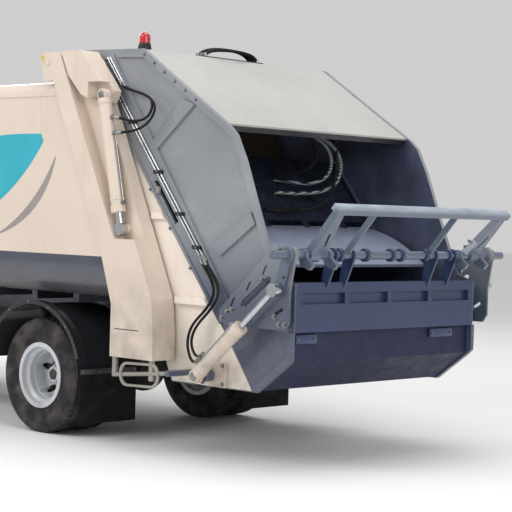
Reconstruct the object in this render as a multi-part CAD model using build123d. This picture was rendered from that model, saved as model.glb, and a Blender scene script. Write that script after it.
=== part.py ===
from build123d import *
import os
from math import cos, hypot, radians, sin

# A light two-axle truck with a rear-loading refuse body.
# Sizes are in millimetres. X points to the truck's left, Y to its rear, Z up from the ground.
# Lengths along the truck are measured from the rear axle, rearwards positive. The finished pieces
# are moved once, at the end, so that the whole truck's box is centred on the origin.

# Whole truck
wheelbase = 3360
front_overhang = 1080
running_gap = 0.3            # radial clearance of pins and bearings
working_gap = 8              # clearance between large moving pieces

# Tyres and rims
tyre_radius = 402.5
tyre_width = 205
tread_width = 168
bead_radius = 206
rim_flange_radius = 230
rim_half_width = 91.5
rim_wall = 8
rim_offset = 125             # tyre centre to the disc's mounting face
disc_thickness = 12
disc_bore = 72
hand_hole_radius = 27
hand_hole_count = 5
hand_hole_circle = 137
twin_spacing = 2 * rim_offset
rear_outer_tyre_x = 887.5
front_tyre_x = 832.5
hub_radius = 70
drum_radius = 155
drum_width = 80

# Chassis
rail_outer_x = 388
rail_flange = 70
rail_wall = 8
rail_bottom_z = 600
rail_top_z = 800
rail_front_y = -wheelbase - 930
rail_rear_y = 760
spring_x = 430
spring_width = 60
leaf_thickness = 9
spring_pin_radius = 12
axle_beam_z = 330
axle_beam_height = 70
axle_beam_width = 70
kingpin_x = 680
kingpin_radius = 18
kingpin_half_height = 100
spindle_radius = 28
rear_housing_radius = 60
rear_housing_half = 500
differential_radius = 165
rear_spindle_radius = 38

# Rear mudguards
guard_radius = 500
guard_inner_x = 522
guard_outer_x = 1056
guard_wall = 6

# Screw-in towing eye's socket in the bumper
tow_socket_x = -450
tow_socket_z = 468
tow_socket_radius = 15

# Compaction body
body_half_width = 1095
body_floor_z = 987
body_roof_z = 2440
body_wall = 60
cab_rear_y = -2790
body_front_y = cab_rear_y + 100
top_corner_radius = 90
under_corner_radius = 230
roof_half_width = 960

# The slanted joint between body and tailgate: its height above ground against its place
seal_foot_y = 976
seal_foot_z = 983
seal_lean = 0.445            # rearward travel for each unit downwards

# Rear posts
post_outer_x = 1125
post_inner_x = 930
post_recess_x = 1030
post_rear_lean = 0.471
post_rear_foot_y = 1294
post_rear_foot_z = 1006
post_top_z = 2634
foot_top_z = 1385
foot_bottom_z = 617

# Tailgate latches: a turnbuckle under each post's foot and the tailgate's pin that it holds
latch_x = 1100
latch_radius = 14
latch_front_y = 925
latch_rear_y = 1425
latch_front_z = 498
latch_rear_z = 546
latch_pin_y = 1452
latch_pin_z = 549
latch_pin_radius = 20

# Tailgate hinge and its arms
hinge_y = 185
hinge_z = 2573
hinge_pin_radius = 25
fork_wall = 32
arm_inner_x = 970
arm_outer_x = 1120
arm_boss_radius = 55
arm_pocket_y = 608           # front end of the space that the lift cylinder swings in

# Tailgate side plates
side_plate_inner_x = 890
side_plate_wall = 12
side_face_x = side_plate_inner_x + side_plate_wall
trim_height = 20             # how far beam, flange and ribs stand out from the plate
tailgate_top_z = 2665
hopper_bottom_z = 472
beam_front_top_y = 281
beam_slope = 0.7988          # rearward travel of the slanted beam for each unit downwards
beam_foot_z = 876
beam_width_y = 300
wing_rear_y = 2000

# Packer: the pivot of the sweep blade at its lowest and the direction the slide runs in
packer_low_y = 1680
packer_low_z = 1120
packer_angle = 51.4          # slide direction below the horizontal
packer_stroke = 440
blade_reach = 570
blade_rest_angle = -20
floor_clearance = 30
tub_wall = 12
ramp_length = 330
tub_rear_y = packer_low_y + blade_reach + floor_clearance + tub_wall
blade_half_width = 848
slide_thickness = 60
slide_height = 620
packer_knuckles = [(-620, -560), (-230, -170), (170, 230), (560, 620)]   # x from, x to

# Panel that hangs from the hood in front of the hopper
header_y = 1444
header_wall = 12
header_low_z = 2110

# Loading sill
sill_rear_y = 2330
sill_low_z = 862
sill_high_z = 1165
sill_window_low_z = 1033
sill_window_high_z = 1102
sill_windows = [(-842, -440), (-400, -20), (20, 400), (440, 842)]   # x from, x to
shaft_bearings = [(440, 620), (-600, -380)]                         # x from, x to
bearing_wall = 16

# Hydraulic pipes along the beam
pipe_radius = 8

# Bin lifter
shaft_y = 2365
shaft_z = 1336
shaft_radius = 27
lifter_bar_half = 870
lifter_angle = 49.2
lifter_length = 369
lifter_bar_height = 60
lifter_bar_depth = 42
lifter_plate_x = 990
lifter_plate_wall = 15
lever_x = lifter_plate_x + lifter_plate_wall + 2
lever_width = 16
shaft_end = 127              # shaft beyond each lever
shaft_half = lever_x + lever_width + shaft_end

# Lifter cylinders
lifter_base_y = 1660
lifter_base_z = 550
lifter_eye_y = 2305
lifter_eye_z = 1122
lifter_cylinder_x = 1062
lifter_barrel_radius = 42
lifter_rod_radius = 20
lifter_barrel_length = 500
lifter_rod_start = 132
lifter_lug_radius = 40

# Tailgate lift cylinders: upper end on the hinge arm, rod eye on the post
lift_top_y = 735
lift_top_z = 2330
lift_eye_y = 938
lift_eye_z = 1450
lift_cylinder_x = 1085
lift_barrel_radius = 44
lift_rod_radius = 24
lift_barrel_length = 790
lift_rod_start = 102
bore_start = 72              # from the barrel's pin to the bottom of its bore
eye_radius = 42
eye_half_width = 24
pin_radius = 18

# Cab
cab_half_width = 950
cab_front_y = -wheelbase - front_overhang + 40
cab_bottom_z = 860
cab_roof_z = 2270
cab_wall = 50
door_front_y = -4140
door_rear_y = -3190
door_bottom_z = 915
door_top_z = 2150
door_gap = 6
door_hinge_x = 961
door_hinge_y = door_front_y - 3
door_hinge_heights = (1120, 1370)
door_knuckle_radius = 10
door_pin_radius = 5
glass_thickness = 6
cab_pivot_y = -wheelbase - front_overhang + 80
cab_pivot_z = 838

lifter_tip = lifter_length + lifter_bar_depth / 2
rear_reach = (shaft_y + lifter_tip * cos(radians(lifter_angle))
              + lifter_bar_height / 2 * sin(radians(lifter_angle)))
overall_length = front_overhang + wheelbase + rear_reach
rear_axle_y = overall_length / 2 - rear_reach
front_axle_y = -wheelbase
bumper_front_y = front_axle_y - front_overhang

rear_spring_seat_z = 468
front_spring_seat_z = axle_beam_z + axle_beam_height / 2 + 6
# Leaf springs: axle, seat height, half length, rise of the eyes, leaves
spring_table = [
    (front_axle_y, front_spring_seat_z, 560, 150, 5),
    (0, rear_spring_seat_z, 600, 22, 5),
]

os.makedirs("parts", exist_ok=True)


def save(node, shape):
    # Write one node at its place in the centred frame.
    export_step(Location((0, rear_axle_y, 0)) * shape, f"parts/{node}.step")


def side_shape(points, x_low, x_high, radius=0):
    # A plate seen from the side: (y, z) outline, thickness from x_low to x_high.
    corners = [(x_low, y, z) for y, z in points]
    if radius:
        outline = FilletPolyline(*corners, radius=radius, close=True)
    else:
        outline = Polyline(*corners, close=True)
    return extrude(make_face(outline), amount=x_high - x_low, dir=(1, 0, 0))


def front_shape(points, y_low, y_high, radius=0):
    # A plate seen from the front: (x, z) outline, thickness from y_low to y_high.
    corners = [(x, y_low, z) for x, z in points]
    if radius:
        outline = FilletPolyline(*corners, radius=radius, close=True)
    else:
        outline = Polyline(*corners, close=True)
    return extrude(make_face(outline), amount=y_high - y_low, dir=(0, 1, 0))


def plan_shape(points, z_low, z_high, radius=0):
    # A plate seen from above: (x, y) outline, thickness from z_low to z_high.
    corners = [(x, y, z_low) for x, y in points]
    if radius:
        outline = FilletPolyline(*corners, radius=radius, close=True)
    else:
        outline = Polyline(*corners, close=True)
    return extrude(make_face(outline), amount=z_high - z_low, dir=(0, 0, 1))


def block(x_low, x_high, y_low, y_high, z_low, z_high):
    middle = ((x_low + x_high) / 2, (y_low + y_high) / 2, (z_low + z_high) / 2)
    return Location(middle) * Box(x_high - x_low, y_high - y_low, z_high - z_low)


def cross_bar(radius, x_low, x_high, y, z):
    # A round bar along X.
    return Location(((x_low + x_high) / 2, y, z), (0, 90, 0)) * Cylinder(radius, x_high - x_low)


def upright_bar(radius, x, y, z_low, z_high):
    return Location((x, y, (z_low + z_high) / 2)) * Cylinder(radius, z_high - z_low)


def bar_between(start, end, radius):
    # A round bar from one point to another.
    run = Vector(*end) - Vector(*start)
    place = Plane(origin=start, z_dir=run)
    return place * Cylinder(radius, run.length, align=(Align.CENTER, Align.CENTER, Align.MIN))


def turned(points, radii=0):
    # A ring about the X axis from an (x, radius) outline.
    corners = [(x, 0, r) for x, r in points]
    if radii:
        outline = FilletPolyline(*corners, radius=radii, close=True)
    else:
        outline = Polyline(*corners, close=True)
    return revolve(make_face(outline), axis=Axis.X)


def mirrored(shape):
    return mirror(shape, about=Plane.YZ)


def both_sides(shape):
    return shape + mirrored(shape)


def seal_y(z):
    # Where the slanted joint between body and tailgate lies at a height.
    return seal_foot_y + (seal_foot_z - z) * seal_lean


def beam_front(z):
    # Front edge of the tailgate's slanted beam.
    return beam_front_top_y + (tailgate_top_z - z) * beam_slope


def post_rear(z):
    return post_rear_foot_y + (post_rear_foot_z - z) * post_rear_lean


def along_slide(distance, offset=0):
    # A point at a distance up the slide's path from the sweep pivot at rest, offset to the rear.
    a = radians(packer_angle)
    y = packer_rest_y - distance * cos(a) + offset * sin(a)
    z = packer_rest_z + distance * sin(a) + offset * cos(a)
    return y, z


packer_rest_y = packer_low_y - packer_stroke * cos(radians(packer_angle))
packer_rest_z = packer_low_z + packer_stroke * sin(radians(packer_angle))


# Wheels
def tyre():
    half = tyre_width / 2
    tread = tread_width / 2
    bead = rim_half_width - rim_wall
    wide_low, wide_high = 290, 340
    outline = [(-bead, bead_radius), (-bead, rim_flange_radius + 4), (-half, wide_low), (-half, wide_high),
               (-tread, tyre_radius), (tread, tyre_radius), (half, wide_high), (half, wide_low),
               (bead, rim_flange_radius + 4), (bead, bead_radius)]
    return turned(outline, [3, 12, 20, 40, 14, 14, 40, 20, 12, 3])


def rim():
    # Rim with its dished disc; the mounting face lies towards +X.
    half = rim_half_width
    seat = bead_radius - 1
    well = 180
    outline = [(-half, rim_flange_radius), (-half + 6, rim_flange_radius), (-half + 8, seat),
               (-60, seat), (-45, well), (45, well), (60, seat), (half - 8, seat),
               (half - 6, rim_flange_radius), (half, rim_flange_radius), (half, seat - rim_wall + 2),
               (56, seat - rim_wall), (41, well - rim_wall), (-41, well - rim_wall),
               (-56, seat - rim_wall), (-half, seat - rim_wall + 2)]
    face = rim_offset
    back = rim_offset - disc_thickness
    disc = [(0, well - rim_wall + 2), (12, well - rim_wall + 2), (88, 158), (face, 118), (face, disc_bore),
            (back, disc_bore), (back, 112), (80, 148), (0, 160)]
    wheel = turned(outline) + turned(disc, [0, 0, 24, 10, 0, 0, 8, 20, 0])
    holes = [Location((0, 0, 0), (360 * i / hand_hole_count, 0, 0)) * Location((80, 0, hand_hole_circle),
                                                                               (0, 90, 0))
             * Cylinder(hand_hole_radius, 160) for i in range(hand_hole_count)]
    return wheel - holes


def rear_wheel_rims():
    # Outer and inner rim back to back, with the drum and hub between axle and discs.
    outer = Location((rear_outer_tyre_x, 0, tyre_radius)) * mirrored(rim())
    inner = Location((rear_outer_tyre_x - twin_spacing, 0, tyre_radius)) * rim()
    mounting_x = rear_outer_tyre_x - rim_offset
    hub = cross_bar(hub_radius + 3, rear_housing_half + 20, mounting_x + 60, 0, tyre_radius)
    hub += cross_bar(hub_radius - 14, mounting_x + 60, mounting_x + 95, 0, tyre_radius)
    drum = cross_bar(drum_radius - 5, rear_housing_half + 15, rear_housing_half + 25 + drum_width, 0,
                     tyre_radius)
    wheel = outer + inner + hub + drum
    spindle_end = mounting_x + 30
    return wheel - cross_bar(rear_spindle_radius + running_gap, 0, spindle_end, 0, tyre_radius)


def rear_wheel_tyres():
    outer = Location((rear_outer_tyre_x, 0, tyre_radius)) * tyre()
    inner = Location((rear_outer_tyre_x - twin_spacing, 0, tyre_radius)) * tyre()
    return outer + inner


def front_wheel_rim():
    place = Location((front_tyre_x, front_axle_y, tyre_radius))
    face_x = front_tyre_x + rim_offset
    hub = cross_bar(hub_radius + 3, kingpin_x + 85, face_x + 8, front_axle_y, tyre_radius)
    hub += cross_bar(hub_radius - 22, face_x + 8, face_x + 48, front_axle_y, tyre_radius)
    hub += cross_bar(drum_radius - 5, kingpin_x + 85, kingpin_x + 85 + drum_width, front_axle_y, tyre_radius)
    bore = cross_bar(spindle_radius + running_gap, 0, face_x - 20, front_axle_y, tyre_radius)
    return place * rim() + hub - bore


def front_wheel_tyre():
    return Location((front_tyre_x, front_axle_y, tyre_radius)) * tyre()


def knuckle():
    # Two ears on the kingpin, a web outside the beam's end, and the spindle.
    ear = 22
    half = kingpin_half_height
    web = block(kingpin_x + 48, kingpin_x + 78, front_axle_y - 60, front_axle_y + 60, tyre_radius - half,
                tyre_radius + half)
    piece = web
    for low in (tyre_radius - half, tyre_radius + half - ear):
        piece += block(kingpin_x, kingpin_x + 50, front_axle_y - 36, front_axle_y + 36, low, low + ear)
        piece += upright_bar(36, kingpin_x, front_axle_y, low, low + ear)
    piece += cross_bar(spindle_radius, kingpin_x + 70, front_tyre_x + rim_offset - 25, front_axle_y,
                       tyre_radius)
    arm = block(kingpin_x - 20, kingpin_x + 60, front_axle_y + 30, front_axle_y + 190, tyre_radius - half,
                tyre_radius - half + 20)
    piece += arm
    return piece - upright_bar(kingpin_radius + running_gap, kingpin_x, front_axle_y, 0, 2 * tyre_radius)


def front_axle():
    # Drop beam with a boss and a kingpin at each end.
    half_height = axle_beam_height / 2
    end_z = tyre_radius
    low, high = axle_beam_z - half_height, axle_beam_z + half_height
    outline = [(-kingpin_x, end_z - 30), (-kingpin_x + 60, end_z - 34), (-500, low), (500, low),
               (kingpin_x - 60, end_z - 34), (kingpin_x, end_z - 30), (kingpin_x, end_z + 30),
               (kingpin_x - 60, end_z + 30), (480, high), (-480, high), (-kingpin_x + 60, end_z + 30),
               (-kingpin_x, end_z + 30)]
    width = axle_beam_width / 2
    beam = front_shape(outline, front_axle_y - width, front_axle_y + width)
    pocket = [(-470, low + 16), (470, low + 16), (460, high - 16), (-460, high - 16)]
    beam -= front_shape(pocket, front_axle_y - width, front_axle_y - 12)
    beam -= front_shape(pocket, front_axle_y + 12, front_axle_y + width)
    for side in (-1, 1):
        beam += upright_bar(36, side * kingpin_x, front_axle_y, end_z - 70, end_z + 70)
        beam += upright_bar(kingpin_radius, side * kingpin_x, front_axle_y, end_z - kingpin_half_height,
                            end_z + kingpin_half_height)
        pad = block(side * spring_x - 45, side * spring_x + 45, front_axle_y - 60, front_axle_y + 60,
                    high - 10, high + 6)
        beam += pad
    return beam


def rear_axle():
    # Housing tube, differential ball, spring seats and the spindles that carry the hubs.
    piece = cross_bar(rear_housing_radius, -rear_housing_half, rear_housing_half, 0, tyre_radius)
    bowl = Location((0, 0, tyre_radius)) * Sphere(differential_radius)
    piece += bowl & block(-130, 130, -200, 200, 0, 2 * tyre_radius)
    piece += bar_between((0, -differential_radius + 30, tyre_radius), (0, -260, tyre_radius + 15), 60)
    mounting_x = rear_outer_tyre_x - rim_offset
    piece += cross_bar(rear_spindle_radius, -mounting_x - 20, mounting_x + 20, 0, tyre_radius)
    for side in (-1, 1):
        piece += block(side * spring_x - 50, side * spring_x + 50, -70, 70, tyre_radius, rear_spring_seat_z)
    return piece


def leaf_spring(centre_y, seat_z, half_length, rise, leaves):
    # Curved leaves of stepped lengths, longest on top, with an eye at each end.
    radius = (half_length ** 2 + rise ** 2) / (2 * rise)
    x_low = spring_x - spring_width / 2
    pack = None
    for i in range(leaves):
        reach = half_length * (1 - 0.14 * (leaves - 1 - i))
        low = i * leaf_thickness
        outer = radius - low
        inner = outer - leaf_thickness
        centre_z = seat_z + radius
        leaf = curved_strip(centre_y, centre_z, outer, inner, reach, x_low)
        pack = leaf if pack is None else pack + leaf
    top = leaves * leaf_thickness
    for end in (-1, 1):
        angle = half_length / radius
        eye_y = centre_y + end * (radius - top) * sin(angle)
        eye_z = seat_z + radius - (radius - top) * cos(angle) + 16
        pack += cross_bar(22, x_low, x_low + spring_width, eye_y, eye_z)
        pack -= cross_bar(spring_pin_radius + running_gap, x_low, x_low + spring_width, eye_y, eye_z)
    return pack


def spring_eyes(centre_y, seat_z, half_length, rise, leaves):
    radius = (half_length ** 2 + rise ** 2) / (2 * rise)
    top = leaves * leaf_thickness
    angle = half_length / radius
    z = seat_z + radius - (radius - top) * cos(angle) + 16
    return [(centre_y + end * (radius - top) * sin(angle), z) for end in (-1, 1)]


def curved_strip(centre_y, centre_z, outer, inner, reach, x):
    # A strip bent about a centre high above it, seen from the side.
    def at(radius, turn):
        return (x, centre_y + radius * sin(turn), centre_z - radius * cos(turn))
    turn = reach / outer
    edges = [ThreePointArc(at(outer, -turn), at(outer, 0), at(outer, turn)),
             Line(at(outer, turn), at(inner, turn)),
             ThreePointArc(at(inner, turn), at(inner, 0), at(inner, -turn)),
             Line(at(inner, -turn), at(outer, -turn))]
    return extrude(make_face(edges), amount=spring_width, dir=(1, 0, 0))


def leaf_springs():
    packs = [both_sides(leaf_spring(*row)) for row in spring_table]
    return packs[0] + packs[1]


def frame():
    # Two channel rails, cross members, spring hangers and the cab's pivot tube.
    rail = block(rail_outer_x - rail_flange, rail_outer_x, rail_front_y, rail_rear_y, rail_bottom_z,
                 rail_top_z)
    rail -= block(rail_outer_x - rail_flange, rail_outer_x - rail_wall, rail_front_y, rail_rear_y,
                  rail_bottom_z + rail_wall, rail_top_z - rail_wall)
    piece = both_sides(rail)
    inside = rail_outer_x - rail_wall
    for y in (rail_front_y + 60, -2350, -1500, -620, 620):
        piece += block(-inside, inside, y - 40, y + 40, rail_bottom_z + 80, rail_top_z - 10)
    for row in spring_table:
        for eye_y, eye_z in spring_eyes(*row):
            for low, high in ((spring_x - 48, spring_x - 31), (spring_x + 31, spring_x + 48)):
                cheek = block(low, high, eye_y - 28, eye_y + 28, eye_z - 26, rail_bottom_z)
                piece += both_sides(cheek)
            piece += both_sides(block(rail_outer_x - rail_flange, spring_x + 48, eye_y - 28, eye_y + 28,
                                      rail_bottom_z - 8, rail_bottom_z))
            piece += both_sides(cross_bar(spring_pin_radius, spring_x - 48, spring_x + 48, eye_y, eye_z))
    ear = side_shape([(cab_pivot_y, cab_pivot_z + 12), (rail_front_y, rail_top_z),
                      (rail_front_y, rail_bottom_z + 40),
                      (cab_pivot_y - 20, cab_pivot_z - 40), (cab_pivot_y - 20, cab_pivot_z - 4)],
                     rail_outer_x - 24, rail_outer_x)
    piece += both_sides(ear)
    piece += cross_bar(16, -rail_outer_x - 60, rail_outer_x + 60, cab_pivot_y, cab_pivot_z)
    return piece


def engine_block():
    # Engine as one plain block on its mounts, with gearbox and propeller shaft behind it.
    half = rail_outer_x - rail_flange - 10
    piece = block(-half + 20, half - 20, -4060, -3180, 520, 835)
    for y in (-3950, -3400):
        piece += block(-rail_outer_x + rail_wall, rail_outer_x - rail_wall, y - 35, y + 35, 640, 700)
    piece += side_shape([(-3180, 560), (-3180, 800), (-2700, 740), (-2560, 700), (-2560, 600),
                         (-3100, 540)], -170, 170)
    return piece


def propeller_shaft():
    start = (0, -2580, 652)
    end = (0, -268, tyre_radius + 15)
    piece = bar_between(start, end, 38) & block(-60, 60, -2560, 0, 0, 900)
    for centre in ((0, -2480, 643), (0, -330, tyre_radius + 22)):
        piece += Location(centre) * Sphere(58)
    return piece


def fuel_tank():
    # On the right side, strapped to two brackets on the rail.
    tank = front_shape([(-920, 450), (-470, 450), (-470, 800), (-920, 800)], -1950, -1080, 70)
    for y in (-1800, -1230):
        tank += block(-475, -rail_outer_x, y - 25, y + 25, 560, 740)
        strap = front_shape([(-928, 442), (-462, 442), (-462, 808), (-928, 808)], y - 25, y + 25, 76)
        strap -= front_shape([(-920, 450), (-470, 450), (-470, 800), (-920, 800)], y - 25, y + 25, 70)
        tank += strap
    tank += bar_between((-840, -1800 + 80, 780), (-880, -1800 + 80, 850), 38)
    return tank


def battery_box():
    box = front_shape([(480, 500), (880, 500), (880, 800), (480, 800)], -2200, -1650, 18)
    box += block(rail_outer_x, 485, -2120, -2060, 620, 760)
    box += block(rail_outer_x, 485, -1790, -1730, 620, 760)
    for y in (-2180, -1926):
        box -= block(868, 890, y + 20, y + 230, 560, 740)
    return box


def bumper():
    outer_half, depth, wrap = 960, 60, 500
    outer = [(-outer_half, bumper_front_y + wrap), (-outer_half, bumper_front_y),
             (outer_half, bumper_front_y),
             (outer_half, bumper_front_y + wrap)]
    inner = [(-outer_half + depth, bumper_front_y + wrap + 10), (-outer_half + depth, bumper_front_y + depth),
             (outer_half - depth, bumper_front_y + depth), (outer_half - depth, bumper_front_y + wrap + 10)]
    radii = [0, 150, 150, 0]
    piece = rounded_plan(outer, 420, 700, radii) - rounded_plan(inner, 410, 710, [0, 90, 90, 0])
    for side in (-1, 1):
        low, high = sorted((side * (rail_outer_x - rail_flange), side * rail_outer_x))
        piece += block(low, high, bumper_front_y + depth - 2, rail_front_y, rail_bottom_z, rail_bottom_z + 32)
        piece -= block(*sorted((side * 560, side * 760)), bumper_front_y - 1, bumper_front_y + 24, 520, 600)
    piece -= block(-330, 330, bumper_front_y - 1, bumper_front_y + 18, 540, 640)
    tow_socket = Location((tow_socket_x, bumper_front_y + depth / 2, tow_socket_z),
                          (90, 0, 0)) * Cylinder(tow_socket_radius, 2 * depth)
    piece -= tow_socket
    return piece


def rounded_plan(points, z_low, z_high, radii):
    corners = [(x, y, z_low) for x, y in points]
    outline = FilletPolyline(*corners, radius=radii, close=True)
    return extrude(make_face(outline), amount=z_high - z_low, dir=(0, 0, 1))


def mudguard():
    # Half-round guard with two raised lips at its outer edge, carried by two tubes from the rail.
    def shell(inner, outer, x_low, x_high, end_z):
        ring = cross_bar(outer, x_low, x_high, 0, tyre_radius) - cross_bar(inner, x_low, x_high, 0,
                                                                           tyre_radius)
        return ring & side_shape([(-620, 520), (-620, 1100), (620, 1100), (620, end_z), (0, tyre_radius)],
                                 x_low, x_high)
    piece = shell(guard_radius, guard_radius + guard_wall, guard_inner_x, guard_outer_x, 430)
    piece += shell(guard_radius, guard_radius + 30, guard_outer_x - guard_wall, guard_outer_x, 600)
    piece += shell(guard_radius, guard_radius + 24, guard_outer_x - 80, guard_outer_x - 72, 600)
    for y in (-330, 330):
        piece += cross_bar(18, rail_outer_x, guard_inner_x + 60, y, 795)
    return piece


def mudflap():
    front = guard_radius + guard_wall + running_gap
    return block(guard_inner_x + 10, guard_outer_x - 12, front, front + 8, 114, 500)


# Compaction body
def body_form(inset, y_low, y_high):
    # The body's rounded section, set in by a wall or a clearance.
    half = body_half_width - inset
    low, high = body_floor_z + inset, body_roof_z - inset
    corners = [(-half, y_low, low), (half, y_low, low), (half, y_low, high), (-half, y_low, high)]
    radii = [under_corner_radius - inset, under_corner_radius - inset,
             top_corner_radius - inset, top_corner_radius - inset]
    outline = FilletPolyline(*corners, radius=radii, close=True)
    return extrude(make_face(outline), amount=y_high - y_low, dir=(0, 1, 0))


def behind_seal():
    # All that lies rearwards of the slanted joint.
    return side_shape([(seal_y(800), 800), (seal_y(2500), 2500), (1600, 2500), (1600, 800)], -1200, 1200)


def body_pieces():
    # Walls, roof, floor and front wall, parted where the real panels meet.
    ring = body_form(0, body_front_y + body_wall, 1400) - body_form(body_wall, body_front_y,
                                                                    1500) - behind_seal()
    floor_half = body_half_width - under_corner_radius
    side_wall = ring & block(roof_half_width, 1200, body_front_y, 1500, 1500, 2500)
    side_wall += ring & block(floor_half, 1200, body_front_y, 1500, 900, 1500)
    roof = ring & block(-roof_half_width, roof_half_width, body_front_y, 1500, 2000, 2500)
    floor = ring & block(-floor_half, floor_half, body_front_y, 1500, 900, 1500)
    floor += both_sides(block(rail_outer_x - rail_flange, rail_outer_x, body_front_y + 40, rail_rear_y,
                              rail_top_z, body_floor_z))
    for i in range(8):
        y = body_front_y + 140 + i * 460
        floor += block(-floor_half, floor_half, y, y + 60, body_floor_z - 60, body_floor_z)
    front_wall = body_form(0, body_front_y, body_front_y + body_wall)
    return both_sides(side_wall), roof, floor, front_wall


def ejector_plate():
    # Pushes the load out; its face is slanted like the rear joint and stands on floor shoes.
    gap = 15
    inner = body_form(body_wall + gap, body_front_y, 1000)
    back = 2700
    face = [(seal_y(900) - back, 900), (seal_y(2500) - back, 2500), (seal_y(2500) - back - 60, 2500),
            (seal_y(900) - back - 60, 900)]
    plate = inner & side_shape(face, -1200, 1200)
    for x in (-600, 0, 600):
        rib = side_shape([(seal_y(1080) - back - 55, 1080), (seal_y(2200) - back - 55, 2200),
                          (seal_y(2200) - back - 140, 2200),
                          (seal_y(1080) - back - 320, 1080)], x - 30, x + 30)
        plate += rib
        foot_y = seal_y(body_floor_z) - back
        plate += block(x - 40, x + 40, foot_y - 260, foot_y - 60, body_floor_z + body_wall + running_gap,
                       1110)
    return plate


def arm_outline():
    # Hinge arm seen from the side, outside the post's fork.
    return [(319, post_top_z), (528, post_top_z), (700, 2450), (775, 2360), (735, 2280), (540, 2335),
            (399, 2473)]


def arm_clearance(x_low, x_high):
    face = make_face(Polyline(*[(x_low, y, z) for y, z in arm_outline()], close=True))
    grown = offset(face, amount=working_gap)
    return extrude(grown, amount=x_high - x_low, dir=(1, 0, 0))


def post():
    # Outer strip, recessed rear part with the lift cylinder's space, box foot, and the hinge fork on top.
    strip = [(104, post_top_z), (306, post_top_z), (388, 2467), (857, 1504), (915, foot_top_z),
             (post_rear(foot_top_z), foot_top_z), (post_rear_foot_y, post_rear_foot_z), (1317, 785),
             (1317, foot_bottom_z),
             (905, foot_bottom_z), (905, 960), (784, 1306), (310, 2301), (248, 2442), (140, 2442)]
    recess = [(380, 2440), (post_rear(2440), 2440), (post_rear(1300), 1300), (850, 1300), (700, 1600)]
    piece = side_shape(strip, post_inner_x, post_outer_x)
    piece += side_shape(recess, post_inner_x, post_recess_x)
    fork = [(118, body_roof_z + 12), (118, 2700), (420, 2700), (420, body_roof_z + 12)]
    piece -= side_shape(fork, post_inner_x + fork_wall, post_outer_x - fork_wall)
    piece -= arm_clearance(post_inner_x - 1, post_outer_x + 1)
    hollow = [(905 + 60, foot_bottom_z - 1), (905 + 60, 760), (1257, 760), (1257, foot_bottom_z - 1)]
    piece -= side_shape(hollow, post_inner_x - 1, post_outer_x - 12)
    piece += cross_bar(hinge_pin_radius, post_inner_x, post_outer_x + 6, hinge_y, hinge_z)
    piece += cross_bar(34, post_recess_x, lift_cylinder_x - eye_half_width - running_gap, lift_eye_y,
                       lift_eye_z)
    return piece - (body_form(0, body_front_y, 1400) - behind_seal())


def tailgate_latch():
    # Threaded bar with its long turning loop, hung from the post's foot by two tabs.
    piece = bar_between((latch_x, latch_front_y, latch_front_z), (latch_x, latch_rear_y, latch_rear_z),
                        latch_radius)
    loop = [(1000, 432), (1370, 444), (1370, 602), (1000, 590)]
    inside = [(1016, 448), (1354, 460), (1354, 586), (1016, 574)]
    near, far = latch_x + latch_radius - 8, latch_x + latch_radius + 6
    piece += side_shape(loop, near, far, 70) - side_shape(inside, near - 1, far + 1, 58)
    for y in (latch_front_y + 10, latch_rear_y - 135):
        piece += block(latch_x - 10, latch_x + 10, y - 18, y + 18, latch_front_z - 12, foot_bottom_z)
    return piece


def hinge_arm():
    # Arm from the fork's pin to the lift cylinder, joined to the tailgate by a short box.
    piece = side_shape(arm_outline(), arm_inner_x, arm_outer_x, 6)
    pocket_x = lift_cylinder_x - lift_barrel_radius - 6
    pocket = [(arm_pocket_y, 2420), (900, 2420), (900, 2200), (arm_pocket_y, 2200)]
    piece -= side_shape(pocket, pocket_x, arm_outer_x + 1)
    lug = side_shape([(hinge_y, hinge_z - 45), (330, 2555), (420, 2500), (420, 2620), (330, 2628),
                      (hinge_y, hinge_z + 48)],
                     arm_inner_x, post_outer_x - fork_wall - working_gap)
    lug += cross_bar(arm_boss_radius, arm_inner_x, post_outer_x - fork_wall - working_gap, hinge_y, hinge_z)
    piece += lug
    piece += side_shape([(330, 2625), (430, 2625), (470, 2545), (412, 2475)], side_face_x + trim_height,
                        arm_inner_x)
    piece -= cross_bar(hinge_pin_radius + running_gap, post_inner_x, post_outer_x, hinge_y, hinge_z)
    piece += cross_bar(pin_radius, arm_inner_x, lift_cylinder_x + eye_half_width + 4, lift_top_y, lift_top_z)
    return piece


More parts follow.
